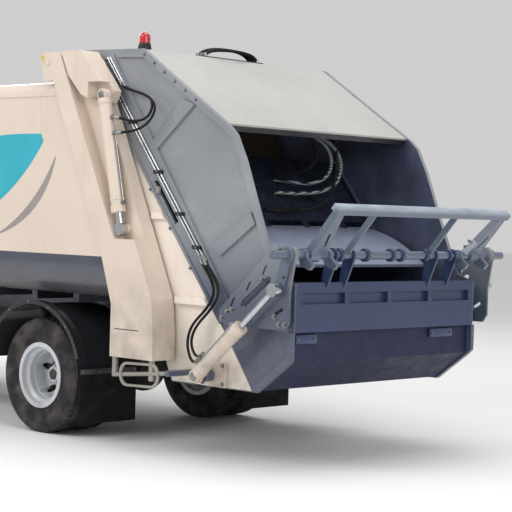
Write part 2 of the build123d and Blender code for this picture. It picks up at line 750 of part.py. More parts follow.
def hopper_tub():
    # Ramp from the body, round floor under the sweep blade, straight rear wall up to the sill.
    radius = blade_reach + floor_clearance
    a = radians(packer_angle)

    def path(r):
        start_y = packer_low_y - r * sin(a)
        start_z = packer_low_z - r * cos(a)
        return [(start_y - ramp_length * cos(a), start_z + ramp_length * sin(a)), (start_y, start_z),
                (packer_low_y, packer_low_z - r), (packer_low_y + r, packer_low_z),
                (packer_low_y + r, sill_high_z)]
    inner, outer = path(radius), path(radius + tub_wall)
    x = -side_plate_inner_x

    def at(p):
        return (x, p[0], p[1])

    def through(r):
        b = radians(225 + (packer_angle - 45) / 2 + 8)
        return (x, packer_low_y + r * cos(b), packer_low_z + r * sin(b))

    def through_rear(r):
        return (x, packer_low_y + r * cos(radians(-45)), packer_low_z + r * sin(radians(-45)))
    edges = [Line(at(inner[0]), at(inner[1])), ThreePointArc(at(inner[1]), through(radius), at(inner[2])),
             ThreePointArc(at(inner[2]), through_rear(radius), at(inner[3])),
             Line(at(inner[3]), at(inner[4])),
             Line(at(inner[4]), at(outer[4])), Line(at(outer[4]), at(outer[3])),
             ThreePointArc(at(outer[3]), through_rear(radius + tub_wall), at(outer[2])),
             ThreePointArc(at(outer[2]), through(radius + tub_wall), at(outer[1])),
             Line(at(outer[1]), at(outer[0])), Line(at(outer[0]), at(inner[0]))]
    tub = extrude(make_face(edges), amount=2 * side_plate_inner_x, dir=(1, 0, 0))
    plate = 8
    rear = tub_rear_y
    top = packer_low_z - 10
    apron = [(rear, top), (rear, 672), (2040, 482), (1300, 482), (1300, 482 + plate), (2036, 482 + plate),
             (rear - plate, 676), (rear - plate, top)]
    tub += side_shape(apron, -side_plate_inner_x, side_plate_inner_x)
    return tub


def side_outline():
    a = radians(packer_angle)
    outer = blade_reach + floor_clearance + tub_wall
    ramp_start = (packer_low_y - outer * sin(a), packer_low_z - outer * cos(a))
    ramp_end = (ramp_start[0] - ramp_length * cos(a), ramp_start[1] + ramp_length * sin(a))
    return [(beam_front_top_y, tailgate_top_z), (915, 2646), (1412, 2330), (1745, 2121), (1808, 2064),
            (1893, 1903),
            (2017, 1597), (2130, 1330), (2200, 1200), (sill_rear_y, sill_high_z - 5), (sill_rear_y, 690),
            (2295, 658),
            (2046, hopper_bottom_z), (1274, hopper_bottom_z), (ramp_start[0] - 20, ramp_start[1] - 20),
            (ramp_end[0], ramp_end[1]), (seal_y(ramp_end[1] + 60) + working_gap, ramp_end[1] + 60),
            (seal_y(2440) + working_gap, 2440)]


def tailgate_side():
    # Side plate with its rolled edge, slanted channel beam and two ribs.
    face = side_face_x
    proud = face + trim_height
    plate = side_shape(side_outline(), side_plate_inner_x, face)
    # Edge flange follows the rear edge from the roof down to the lifter
    edge = [(915, 2646), (1412, 2330), (1745, 2121), (1808, 2064), (1893, 1903), (2017, 1597), (2130, 1330)]
    inward = [(2085, 1330), (1975, 1590), (1852, 1888), (1772, 2040), (1718, 2086), (1390, 2292), (905, 2600)]
    flange = side_shape(edge + inward, face, proud)
    # Slanted beam, an open channel between two raised edges
    top, foot = 2625, beam_foot_z
    beam = [(beam_front(top), top), (beam_front(top) + beam_width_y, top),
            (beam_front(foot) + beam_width_y * 0.45, foot + 70), (beam_front(foot), foot)]
    channel = side_shape(beam, face, proud)
    inset = 26
    pocket = [(beam_front(top - 40) + inset, top - 40), (beam_front(top - 40) + beam_width_y - inset,
                                                         top - 40),
              (beam_front(1010) + beam_width_y * 0.62, 1010), (beam_front(1010) + inset, 1010)]
    channel -= side_shape(pocket, face + 10, proud + 1)
    ribs = side_shape([(1310, 2300), (1424, 2262), (1068, 1970), (981, 1970)], face, proud - 2)
    ribs += side_shape([(1953, 1582), (1991, 1512), (1693, 1302), (1620, 1370)], face, proud - 2)
    ribs -= side_shape(pocket, face, proud + 1)
    header = side_shape([(660, 2625), (905, 2625), (940, 2585), (660, 2600)], face, proud - 2)
    # Strip along the lower rear edge
    low_edge = [(sill_rear_y, sill_low_z), (sill_rear_y, 690), (2295, 658), (2046, hopper_bottom_z)]
    low_inward = [(2012, hopper_bottom_z + 26), (2264, 694), (sill_rear_y - 42, 712),
                  (sill_rear_y - 42, sill_low_z)]
    strip = side_shape(low_edge + low_inward, face, proud)
    piece = plate + flange + channel + ribs + header + strip
    slot = [(1058, 1770), (1092, 1776), (1300, 1512), (1272, 1490)]
    piece -= side_shape(slot, side_plate_inner_x - 1, proud + 1)
    # Guide rails for the packer's shoes on the inner face
    for offset_n in (-52, 44):
        y0, z0 = along_slide(-packer_stroke + 120, offset_n)
        y1, z1 = along_slide(slide_height + 40, offset_n)
        y2, z2 = along_slide(slide_height + 40, offset_n + 12)
        y3, z3 = along_slide(-packer_stroke + 120, offset_n + 12)
        piece += side_shape([(y0, z0), (y1, z1), (y2, z2), (y3, z3)], side_plate_inner_x - 28,
                            side_plate_inner_x)
    piece += upright_side_lugs()
    return piece


def upright_side_lugs():
    # Stand-offs that carry the lifter plate and the foot of the lifter cylinder.
    face = side_face_x
    piece = None
    for y, z in ((1900, 980), (2150, 1180), (2260, 960)):
        lug = cross_bar(24, face, lifter_plate_x, y, z)
        piece = lug if piece is None else piece + lug
    lug_end = lifter_cylinder_x - lifter_barrel_radius - working_gap
    piece += cross_bar(lifter_lug_radius, face, lug_end, lifter_base_y, lifter_base_z)
    piece += cross_bar(pin_radius, lug_end, lifter_cylinder_x + eye_half_width + 6, lifter_base_y,
                       lifter_base_z)
    piece += cross_bar(latch_pin_radius, face, latch_x + latch_radius + 6, latch_pin_y, latch_pin_z)
    return piece


def tailgate_wing():
    # Lower side panel between the body and the slanted beam, with two box ledges.
    face = side_face_x
    thickness = 8
    outline = [(beam_front(2120), 2120), (beam_front(beam_foot_z) - 0.5, beam_foot_z),
               (wing_rear_y, hopper_bottom_z + 8), (1280, hopper_bottom_z + 8), (1165, 700),
               (seal_y(1010) + 30, 1010), (seal_y(2000) + 60, 2000)]
    piece = side_shape(outline, face, face + thickness)
    for z, proud in ((1524, 34), (985, 44)):
        start = post_rear(z) + 14
        piece += side_shape([(start, z), (beam_front(z) - 4, z), (beam_front(z + 44) - 4, z + 44),
                             (start, z + 44)],
                            face + thickness, face + proud)
    piece -= cross_bar(lifter_lug_radius, face, face + thickness, lifter_base_y, lifter_base_z)
    return piece - cross_bar(latch_pin_radius, face, face + thickness, latch_pin_y, latch_pin_z)


def sill_beam():
    # Loading edge with four long windows in its rear face.
    half = side_plate_inner_x
    piece = block(-half, half, tub_rear_y, sill_rear_y, sill_low_z, sill_high_z)
    for x_low, x_high in sill_windows:
        piece -= block(x_low, x_high, tub_rear_y + 8, sill_rear_y + 1, sill_window_low_z, sill_window_high_z)
    for x_low, x_high in shaft_bearings:
        for x in (x_low, x_high - bearing_wall):
            piece += shaft_bearing(x)
    return piece


def shaft_bearing(x):
    # Cheek that stands on the sill and holds the lifter's shaft.
    foot, ring = sill_high_z - 40, shaft_radius + 16
    outline = [(tub_rear_y, foot), (sill_rear_y, foot), (shaft_y + ring, shaft_z - 20),
               (shaft_y + ring, shaft_z),
               (shaft_y - ring, shaft_z), (tub_rear_y, sill_high_z + 30)]
    cheek = side_shape(outline, x, x + bearing_wall) + cross_bar(ring, x, x + bearing_wall, shaft_y, shaft_z)
    return cheek - cross_bar(shaft_radius + running_gap, x, x + bearing_wall, shaft_y, shaft_z)


def cover():
    # Sloping hood over the hopper with the flat top in front of it.
    half = side_plate_inner_x
    outline = [(beam_front_top_y + 20, 2610), (905, 2592), (1400, 2276), (1690, 2092), (1712, 2138),
               (1412, 2326),
               (915, 2642), (beam_front_top_y + 20, 2660)]
    header = block(-half, half, header_y - header_wall, header_y, header_low_z, 2262)
    return side_shape(outline, -half, half) + header


def lifter_plate():
    # Flat side plate outside the hopper with slots, a long opening and the shaft's bearing.
    outline = [(1789, 905), (1848, 880), (2157, 880), (2347, 880), (2379, 930), (2379, 1114), (2420, 1336),
               (2380, 1392),
               (2300, 1392), (2221, 1370), (1790, 975)]
    piece = side_shape(outline, lifter_plate_x, lifter_plate_x + lifter_plate_wall)
    opening = [(1975, 1010), (2010, 1000), (2215, 1160), (2225, 1195), (2195, 1200), (1985, 1040)]
    piece -= side_shape(opening, lifter_plate_x - 1, lifter_plate_x + lifter_plate_wall + 1)
    for y, z in ((1904, 1027), (2037, 1132), (2168, 1236)):
        slot = side_shape([(y - 22, z - 26), (y - 8, z - 30), (y + 22, z + 26), (y + 8, z + 30)],
                          lifter_plate_x - 1, lifter_plate_x + lifter_plate_wall + 1)
        piece -= slot
    piece -= side_shape([(2230, 960), (2250, 950), (2330, 1000), (2320, 1020)], lifter_plate_x - 1,
                        lifter_plate_x + lifter_plate_wall + 1)
    piece += cross_bar(52, lifter_plate_x - 20, lifter_plate_x + lifter_plate_wall, shaft_y, shaft_z)
    piece -= cross_bar(shaft_radius + running_gap, lifter_plate_x - 21,
                       lifter_plate_x + lifter_plate_wall + 1, shaft_y, shaft_z)
    return piece


def lifter_frame():
    # Torque shaft, levers for the cylinders, and the U frame of rectangular tube with its arms and braces.
    c, s = cos(radians(lifter_angle)), sin(radians(lifter_angle))

    def out(distance, offset=0):
        return (shaft_y + distance * c - offset * s, shaft_z + distance * s + offset * c)

    def bar(d_low, d_high, n_low, n_high, x_low, x_high):
        return side_shape([out(d_low, n_low), out(d_high, n_low), out(d_high, n_high), out(d_low, n_high)],
                          x_low, x_high)
    half_height = lifter_bar_height / 2
    piece = cross_bar(shaft_radius, -shaft_half, shaft_half, shaft_y, shaft_z)
    piece += bar(lifter_length - lifter_bar_depth / 2, lifter_length + lifter_bar_depth / 2, -half_height,
                 half_height,
                 -lifter_bar_half, lifter_bar_half)
    for side in (-1, 1):
        piece += lifter_arm(side, out)
        piece += cross_bar(44, *sorted((side * 760, side * 850)), shaft_y, shaft_z)
        piece += cross_bar(46, *sorted((side * lever_x, side * (lever_x + 22))), shaft_y, shaft_z)
        lever = side_shape([(shaft_y - 40, shaft_z), (shaft_y + 40, shaft_z),
                            (lifter_eye_y + 34, lifter_eye_z),
                            (lifter_eye_y, lifter_eye_z - 36), (lifter_eye_y - 34, lifter_eye_z)],
                           *sorted((side * lever_x, side * (lever_x + lever_width))))
        piece += lever
    for x in (490, -330):
        piece += bar(20, lifter_length - 10, -20, 20, x - 8, x + 8)
    return piece


def lifter_arm(side, out):
    # Arm that widens towards the shaft, with a long slot in its foot.
    tip, foot = lifter_length, 20
    plane_points = [(850, tip), (800, tip), (740, 130), (700, foot), (850, foot)]
    half = lifter_bar_height / 2 - 6
    face = make_face(Polyline(*[(side * x, *out(d, -half)) for x, d in plane_points], close=True))
    normal = (0, out(0, 1)[0] - out(0, 0)[0], out(0, 1)[1] - out(0, 0)[1])
    arm = extrude(face, amount=2 * half, dir=normal)
    slot_points = [(812, 190), (792, 190), (762, 90), (782, 90)]
    slot = make_face(Polyline(*[(side * x, *out(d, -half - 1)) for x, d in slot_points], close=True))
    return arm - extrude(slot, amount=2 * half + 2, dir=normal)


def bin_hooks():
    # Claws on the shaft that catch a bin's rim.
    piece = None
    for x in (880, 660, -660, -880):
        claw = side_shape([(shaft_y - 30, shaft_z + 8), (shaft_y + 20, shaft_z + 10),
                           (shaft_y + 50, shaft_z - 26),
                           (shaft_y + 92, shaft_z - 60), (shaft_y + 62, shaft_z - 92),
                           (shaft_y - 10, shaft_z - 62)],
                          x - 14, x + 14, 6)
        claw += cross_bar(shaft_radius + 11, x - 14, x + 14, shaft_y, shaft_z)
        claw -= cross_bar(shaft_radius, x - 15, x + 15, shaft_y, shaft_z)
        piece = claw if piece is None else piece + claw
    return piece


def cylinder_pair(base, eye, x, barrel_length, barrel_radius, rod_radius, rod_start):
    # Barrel and rod of a hydraulic cylinder between two cross pins, in one side's plane.
    run = hypot(eye[0] - base[0], eye[1] - base[1])
    dy, dz = (eye[0] - base[0]) / run, (eye[1] - base[1]) / run

    def at(distance):
        return (x, base[0] + dy * distance, base[1] + dz * distance)
    half, end_radius = eye_half_width, eye_radius
    barrel = bar_between(at(end_radius * 0.6), at(barrel_length), barrel_radius)
    barrel += bar_between(at(barrel_length - 46), at(barrel_length + 4), barrel_radius + 6)
    barrel += cross_bar(end_radius, x - half, x + half, *base)
    barrel -= cross_bar(pin_radius + running_gap, x - half - 1, x + half + 1, *base)
    barrel -= bar_between(at(bore_start), at(barrel_length + 10), rod_radius + running_gap)
    rod = bar_between(at(rod_start), at(run - end_radius * 0.7), rod_radius)
    rod += cross_bar(end_radius, x - half, x + half, *eye)
    return barrel, rod


# Packer
def packer_slide():
    # Carriage plate with stiffeners, side shoes between the guide rails and a hinge tube for the blade.
    half = slide_thickness / 2
    low, high = 70, slide_height
    plate = side_shape([along_slide(low, -half), along_slide(high, -half), along_slide(high, half),
                        along_slide(low, half)],
                       -blade_half_width, blade_half_width)
    plate -= side_shape([along_slide(low + 40, -half - 1), along_slide(high - 40, -half - 1),
                         along_slide(high - 40, half - 12),
                         along_slide(low + 40, half - 12)], -blade_half_width + 40, blade_half_width - 40)
    for x in (-420, 0, 420):
        plate += side_shape([along_slide(low, -half), along_slide(high, -half), along_slide(high, half),
                             along_slide(low, half)],
                            x - 20, x + 20)
    for distance in (160, high - 60):
        for side in (-1, 1):
            low_x, high_x = sorted((side * blade_half_width, side * (side_plate_inner_x - running_gap)))
            shoe = side_shape([along_slide(distance - 80, -34), along_slide(distance + 50, -34),
                               along_slide(distance + 50, 36),
                               along_slide(distance - 80, 36)], low_x, high_x)
            plate += shoe
    for x_low, x_high in packer_knuckles:
        ear = side_shape([along_slide(0, -30), along_slide(low, -half), along_slide(low, half),
                          along_slide(0, 30)], x_low, x_high)
        plate += ear + cross_bar(38, x_low, x_high, *along_slide(0))
    plate -= cross_bar(pin_radius + running_gap, -blade_half_width, blade_half_width, *along_slide(0))
    return plate


def sweep_blade():
    # Curved blade on the hinge pin; it points rearwards at rest and sweeps down and forwards.
    a = radians(blade_rest_angle)
    c, s = cos(a), sin(a)
    py, pz = along_slide(0)

    def at(distance, offset):
        return (py + distance * c - offset * s, pz + distance * s + offset * c)
    x = -blade_half_width
    top = [at(0, 36), at(280, 52), at(blade_reach, -10)]
    low = [at(blade_reach, -30), at(280, 14), at(0, -36)]

    def lift(p):
        return (x, p[0], p[1])
    edges = [ThreePointArc(lift(top[0]), lift(top[1]), lift(top[2])), Line(lift(top[2]), lift(low[0])),
             ThreePointArc(lift(low[0]), lift(low[1]), lift(low[2])), Line(lift(low[2]), lift(top[0]))]
    blade = extrude(make_face(edges), amount=2 * blade_half_width, dir=(1, 0, 0))
    blade += cross_bar(38, -blade_half_width, blade_half_width, py, pz)
    for x_low, x_high in packer_knuckles:
        blade -= cross_bar(46, x_low - 6, x_high + 6, py, pz)
        blade += cross_bar(pin_radius, x_low - 8, x_high + 8, py, pz)
    return blade


# Cab
def cab_form(inset):
    # The cab's form from three outlines: side, front and plan.
    side = [(cab_front_y + inset, cab_bottom_z + inset), (cab_front_y - 10 + inset, 1250),
            (cab_front_y + 40 + inset, 1380),
            (cab_front_y + 260 + inset, cab_roof_z - 60 - inset * 0.4),
            (cab_front_y + 400 + inset, cab_roof_z - inset),
            (cab_rear_y - inset, cab_roof_z - inset), (cab_rear_y - inset, cab_bottom_z + inset)]
    face = [(-cab_half_width + inset, cab_bottom_z + inset), (-cab_half_width + inset, 1420),
            (-cab_half_width + 75 + inset, cab_roof_z - inset),
            (cab_half_width - 75 - inset, cab_roof_z - inset), (cab_half_width - inset, 1420),
            (cab_half_width - inset, cab_bottom_z + inset)]
    plan = [(-cab_half_width + inset, cab_rear_y - inset), (-cab_half_width + inset, cab_front_y + 120),
            (-cab_half_width + 150 + inset, cab_front_y - 10 + inset),
            (cab_half_width - 150 - inset, cab_front_y - 10 + inset),
            (cab_half_width - inset, cab_front_y + 120), (cab_half_width - inset, cab_rear_y - inset)]
    form = side_shape(side, -1000, 1000, 20)
    form &= front_shape(face, cab_front_y - 50, cab_rear_y + 50, 30)
    form &= plan_shape(plan, cab_bottom_z - 50, cab_roof_z + 50, 30)
    return form


def door_prism(grow, side):
    outline = [(door_front_y - grow, door_bottom_z + 120 - grow * 0.4),
               (door_front_y + 60 - grow * 0.4, door_bottom_z - grow),
               (door_rear_y + grow, door_bottom_z - grow), (door_rear_y + grow, door_top_z + grow),
               (-3960 - grow * 0.6, door_top_z + grow),
               (door_front_y - grow, 1560)]
    low, high = sorted((side * (cab_half_width - cab_wall - 90), side * 1010))
    return side_shape(outline, low, high)


def hinge_knuckles(own, z_list):
    # Knuckles of a door hinge: the shell's lie in front of the axis with its pin, the door's behind it.
    piece = None
    for z in z_list:
        if own == "shell":
            part = block(cab_half_width - 20, door_hinge_x, door_hinge_y - 34, door_hinge_y - 4, z - 40, z)
            part += upright_bar(door_knuckle_radius, door_hinge_x, door_hinge_y, z - 40, z)
            part += upright_bar(door_pin_radius, door_hinge_x, door_hinge_y, z - 40, z + 40)
        else:
            part = block(cab_half_width - 20, door_hinge_x, door_hinge_y + 7, door_hinge_y + 34,
                         z + running_gap, z + 40)
            part += upright_bar(door_knuckle_radius, door_hinge_x, door_hinge_y, z + running_gap, z + 40)
            part -= upright_bar(door_pin_radius + running_gap, door_hinge_x, door_hinge_y, z - 1, z + 41)
        piece = part if piece is None else piece + part
    return piece


def window_prism(side):
    outline = [(-4080, 1470), (-3260, 1470), (-3260, 2080), (-3925, 2080), (-4080, 1640)]
    low, high = sorted((side * (cab_half_width - cab_wall - 90), side * 1010))
    return side_shape(outline, low, high, 25)


def screen_prism():
    return front_shape([(-760, 1440), (760, 1440), (720, 2130), (-720, 2130)], cab_front_y - 60,
                       cab_front_y + 330, 60)


def back_window_prism():
    return front_shape([(-520, 1560), (520, 1560), (500, 1960), (-500, 1960)], cab_rear_y - 80,
                       cab_rear_y + 30, 50)


def cab_pieces():
    outer = cab_form(0)
    inner = cab_form(cab_wall)
    whole = outer - inner
    pane = cab_form(18) - cab_form(18 + glass_thickness)
    doors, door_panes = [], []
    shell = whole - screen_prism() - back_window_prism()
    for side in (-1, 1):
        door = whole & door_prism(0, side)
        door -= window_prism(side)
        knuckles = hinge_knuckles("door", door_hinge_heights)
        door += knuckles if side > 0 else mirrored(knuckles)
        doors.append(door)
        door_panes.append(pane & window_prism(side))
        shell -= door_prism(door_gap, side)
    shell += both_sides(hinge_knuckles("shell", door_hinge_heights))
    glass = (pane & screen_prism()) + (pane & back_window_prism())
    shell -= block(-120, 120, -4100, -3100, cab_bottom_z - 1, cab_bottom_z)
    for x in (rail_outer_x + 30, -rail_outer_x - 30):
        lug = side_shape([(cab_pivot_y - 26, cab_bottom_z + 2), (cab_pivot_y - 26, cab_pivot_z - 10),
                          (cab_pivot_y + 26, cab_pivot_z - 10),
                          (cab_pivot_y + 50, cab_bottom_z + 2)], x - 12, x + 12)
        shell += lug
    shell -= cross_bar(16 + running_gap, -rail_outer_x - 60, rail_outer_x + 60, cab_pivot_y, cab_pivot_z)
    return shell, doors, door_panes, glass


def grille():
    # Slatted panel on the cab's nose.
    y = cab_front_y - 10
    piece = block(-520, 520, y - 14, y + 30, 960, 1200)
    for i in range(4):
        piece -= block(-490, 490, y - 15, y - 6, 980 + i * 52, 1010 + i * 52)
    return piece - cab_form(0)


def headlamps():
    y = cab_front_y - 10
    lamp = front_shape([(590, 960), (800, 960), (800, 1090), (590, 1110)], y - 16, y + 30, 20)
    return both_sides(lamp - cab_form(0))


def seats():
    floor = cab_bottom_z + cab_wall
    piece = None
    for x in (-430, 430):
        seat = block(x - 240, x + 240, -3560, -3060, floor, floor + 180)
        seat += side_shape([(-3580, floor + 180), (-3580, floor + 300), (-3080, floor + 270),
                            (-2990, floor + 900), (-2880, floor + 900),
                            (-2960, floor + 180)], x - 250, x + 250, 20)
        piece = seat if piece is None else piece + seat
    return piece


def dashboard():
    floor = cab_bottom_z + cab_wall
    inner_half = cab_half_width - cab_wall - 40
    shelf = [(-4380, 1300), (-4380, 1400), (-4100, 1440), (-3960, 1380), (-3960, 1180), (-4120, 1100)]
    piece = side_shape(shelf, -inner_half + 20, inner_half - 20) & cab_form(cab_wall)
    hub = (430, -3800, 1420)
    foot = (430, -4010, 1250)
    piece += bar_between(foot, hub, 24)
    lean = Vector(*hub) - Vector(*foot)
    wheel = Plane(origin=hub, z_dir=lean) * Torus(210, 15)
    spokes = Plane(origin=hub, z_dir=lean) * Box(400, 40, 12)
    return piece + wheel + spokes


def mirrors():
    piece = None
    for side in (-1, 1):
        y = door_front_y - 60
        arm = bar_between((side * 926.5, y, 1700), (side * 1040, y, 1700), 9)
        arm += bar_between((side * 946.5, y, 1480), (side * 1040, y, 1480), 9)
        head = block(*sorted((side * 970, side * 1120)), y - 30, y + 5, 1430, 1780)
        arm += head
        piece = arm if piece is None else piece + arm
    return piece


def beacon():
    # Rotating lamp on its stalk at the tailgate's top corner.
    x, y = 850, 860
    base = upright_bar(34, x, y, 2630, 2690) - cover()
    lamp = upright_bar(38, x, y, 2690, 2725) + Location((x, y, 2725)) * Sphere(38)
    return base + lamp


def hydraulic_lines():
    # Two rigid pipes down the slanted beam.
    x = side_face_x + 10 + pipe_radius + running_gap
    piece = None
    for offset_y in (140, 172):
        start = (x, beam_front(2560) + offset_y, 2560)
        end = (x, beam_front(1280) + offset_y, 1280)
        pipe = bar_between(start, end, pipe_radius)
        piece = pipe if piece is None else piece + pipe
    return piece


def main():
    save("frame", frame())
    save("leaf_springs", leaf_springs())
    save("front_axle", front_axle())
    save("rear_axle", rear_axle())
    save("engine_block", engine_block())
    save("propeller_shaft", propeller_shaft())
    save("fuel_tank", fuel_tank())
    save("battery_box", battery_box())
    save("bumper", bumper())
    save("mudguards", both_sides(mudguard()))
    save("mudflaps", both_sides(mudflap()))

    sides, roof, floor, front_wall = body_pieces()
    save("body_sides", sides)
    save("body_roof", roof)
    save("body_floor", floor)
    save("body_front_wall", front_wall)
    save("rear_posts", both_sides(post()))
    save("tailgate_latches", both_sides(tailgate_latch()))
    save("ejector_plate", ejector_plate())

    shell, doors, door_panes, glass = cab_pieces()
    save("cab_shell", shell)
    save("cab_glass", glass)
    for name, door, pane in zip(("right", "left"), doors, door_panes):
        save(f"door_{name}", door)
        save(f"door_glass_{name}", pane)
    save("grille", grille())
    save("headlamps", headlamps())
    save("seats", seats())
    save("dashboard", dashboard())
    save("mirrors", mirrors())

    for name, placed in (("left", lambda s: s), ("right", mirrored)):
        save(f"knuckle_{name}", placed(knuckle()))
        save(f"tyre_front_{name}", placed(front_wheel_tyre()))
        save(f"rim_front_{name}", placed(front_wheel_rim()))
        save(f"tyres_rear_{name}", placed(rear_wheel_tyres()))
        save(f"rims_rear_{name}", placed(rear_wheel_rims()))

    save("tailgate_sides", both_sides(tailgate_side()))
    save("tailgate_wings", both_sides(tailgate_wing()))
    save("hinge_arms", both_sides(hinge_arm()))
    save("hopper_tub", hopper_tub())
    save("sill_beam", sill_beam())
    save("hopper_cover", cover())
    save("lifter_plates", both_sides(lifter_plate()))
    save("beacon", beacon())
    save("hydraulic_lines", both_sides(hydraulic_lines()))

    barrel, rod = cylinder_pair((lift_top_y, lift_top_z), (lift_eye_y, lift_eye_z), lift_cylinder_x,
                                lift_barrel_length,
                                lift_barrel_radius, lift_rod_radius, lift_rod_start)
    save("lift_barrels", both_sides(barrel))
    save("lift_rods", both_sides(rod))
    barrel, rod = cylinder_pair((lifter_base_y, lifter_base_z), (lifter_eye_y, lifter_eye_z),
                                lifter_cylinder_x,
                                lifter_barrel_length, lifter_barrel_radius, lifter_rod_radius,
                                lifter_rod_start)
    save("lifter_barrels", both_sides(barrel))
    save("lifter_rods", both_sides(rod))

    save("packer_slide", packer_slide())
    save("sweep_blade", sweep_blade())
    save("lifter_frame", lifter_frame())
    save("bin_hooks", bin_hooks())


main()
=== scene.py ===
from math import atan2, cos, hypot, pi, radians, sin
import bmesh
import bpy
from mathutils import Matrix, Vector


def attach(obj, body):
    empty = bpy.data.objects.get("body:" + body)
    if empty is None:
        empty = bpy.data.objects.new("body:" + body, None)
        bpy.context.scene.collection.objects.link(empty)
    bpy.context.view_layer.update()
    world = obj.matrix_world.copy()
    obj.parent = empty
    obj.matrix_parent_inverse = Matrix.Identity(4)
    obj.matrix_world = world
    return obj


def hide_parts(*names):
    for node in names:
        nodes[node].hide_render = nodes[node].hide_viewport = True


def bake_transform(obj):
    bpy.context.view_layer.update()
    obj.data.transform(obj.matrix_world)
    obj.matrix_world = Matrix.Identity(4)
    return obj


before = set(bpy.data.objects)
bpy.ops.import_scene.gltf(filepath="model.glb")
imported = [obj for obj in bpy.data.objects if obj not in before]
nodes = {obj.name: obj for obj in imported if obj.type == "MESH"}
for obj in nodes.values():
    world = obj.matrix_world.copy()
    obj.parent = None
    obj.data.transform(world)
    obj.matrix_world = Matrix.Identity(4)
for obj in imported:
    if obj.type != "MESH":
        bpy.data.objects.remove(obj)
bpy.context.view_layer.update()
scene = bpy.context.scene
print("frame loaded")

# Metres; the y of a piece is measured from the rear axle, which lies here along the truck
axleY = 0.89873
frontAxle = -3.360
tyreRadius = 0.4025
shaftY, shaftZ = 2.365, 1.336  # the bin lifter's torque shaft
bodySide = 1.095  # outer face of the body's side
postSide = 1.125  # outer face of the rear post
cabFront = -4.4262


def toLinear(r, g, b):
    values = []
    for v in (r, g, b):
        v = v / 255
        values.append(v / 12.92 if v <= 0.04045 else ((v + 0.055) / 1.055) ** 2.4)
    return (*values, 1)


# Materials: every one is shaded from object coordinates
class Shade:
    # A small wrapper that adds nodes to one material and wires them by name.
    def __init__(self, name, metallic=0.0, roughness=0.5, coat=0.0, coatRoughness=0.1, specular=0.5):
        self.material = bpy.data.materials.new(name)
        self.material.use_nodes = True
        self.tree = self.material.node_tree
        self.shader = self.tree.nodes["Principled BSDF"]
        self.shader.inputs["Metallic"].default_value = metallic
        self.shader.inputs["Roughness"].default_value = roughness
        self.shader.inputs["Coat Weight"].default_value = coat
        self.shader.inputs["Coat Roughness"].default_value = coatRoughness
        self.shader.inputs["Specular IOR Level"].default_value = specular
        self.coords = self.tree.nodes.new("ShaderNodeTexCoord").outputs["Object"]

    def link(self, source, target):
        self.tree.links.new(source, target)

    def noise(self, scale, detail=3.0, stretch=None):
        node = self.tree.nodes.new("ShaderNodeTexNoise")
        node.inputs["Scale"].default_value = scale
        node.inputs["Detail"].default_value = detail
        source = self.coords
        if stretch:
            mapping = self.tree.nodes.new("ShaderNodeMapping")
            mapping.inputs["Scale"].default_value = stretch
            self.link(self.coords, mapping.inputs["Vector"])
            source = mapping.outputs["Vector"]
        self.link(source, node.inputs["Vector"])
        return node.outputs["Fac"]

    def ramp(self, source, fromLow, fromHigh, toLow=0.0, toHigh=1.0):
        node = self.tree.nodes.new("ShaderNodeMapRange")
        node.inputs["From Min"].default_value = fromLow
        node.inputs["From Max"].default_value = fromHigh
        node.inputs["To Min"].default_value = toLow
        node.inputs["To Max"].default_value = toHigh
        self.link(source, node.inputs["Value"])
        return node.outputs["Result"]

    def axis(self, name):
        node = self.tree.nodes.new("ShaderNodeSeparateXYZ")
        self.link(self.coords, node.inputs["Vector"])
        return node.outputs[name]

    def maths(self, operation, a, b):
        node = self.tree.nodes.new("ShaderNodeMath")
        node.operation = operation
        for socket, value in zip(node.inputs, (a, b)):
            if isinstance(value, (int, float)):
                socket.default_value = value
            else:
                self.link(value, socket)
        return node.outputs["Value"]

    def mix(self, factor, a, b):
        node = self.tree.nodes.new("ShaderNodeMix")
        node.data_type = "RGBA"
        self.link(factor, node.inputs["Factor"])
        for key, value in ((6, a), (7, b)):
            if isinstance(value, tuple):
                node.inputs[key].default_value = value
            else:
                self.link(value, node.inputs[key])
        return node.outputs[2]

    def bump(self, height, strength, distance=0.002):
        node = self.tree.nodes.new("ShaderNodeBump")
        node.inputs["Strength"].default_value = strength
        node.inputs["Distance"].default_value = distance
        self.link(height, node.inputs["Height"])
        self.link(node.outputs["Normal"], self.shader.inputs["Normal"])

    def colour(self, source):
        if isinstance(source, tuple):
            self.shader.inputs["Base Color"].default_value = source
        else:
            self.link(source, self.shader.inputs["Base Color"])

    def rough(self, low, high, scale=9.0):
        self.link(self.ramp(self.noise(scale), 0.35, 0.65, low, high), self.shader.inputs["Roughness"])


def darker(colour, amount):
    return tuple(c * amount for c in colour[:3]) + (1,)


def paint(name, base, dust=None, dustTop=1.1, dustBottom=0.4, low=0.28, high=0.42, coat=0.3, grime=0.5, peel=0.05):
    # Sprayed paint: cloudy tone, road dust that thickens downwards, streaks of grime and orange peel.
    s = Shade(name, coat=coat, coatRoughness=0.12)
    tone = s.mix(s.ramp(s.noise(2.2, 4), 0.35, 0.68), darker(base, 0.9), base)
    streak = s.ramp(s.noise(5.0, 5, (3.0, 3.0, 0.35)), 0.56, 0.78, 0, grime)
    tone = s.mix(streak, tone, darker(base, 0.62))
    if dust:
        height = s.ramp(s.axis("Z"), dustTop, dustBottom)
        patch = s.ramp(s.noise(7.0, 6), 0.3, 0.7)
        tone = s.mix(s.maths("MULTIPLY", height, s.maths("MULTIPLY", patch, 0.7)), tone, dust)
    s.colour(tone)
    s.rough(low, high)
    s.bump(s.noise(260, 2), peel, 0.0006)
    return s.material


def steel(name, base, low=0.2, high=0.38, stretch=(1, 60, 1)):
    s = Shade(name, metallic=1.0)
    s.colour(s.mix(s.ramp(s.noise(14, 4, stretch), 0.35, 0.65), darker(base, 0.75), base))
    s.rough(low, high, 22)
    s.bump(s.noise(160, 2, stretch), 0.05, 0.0005)
    return s.material


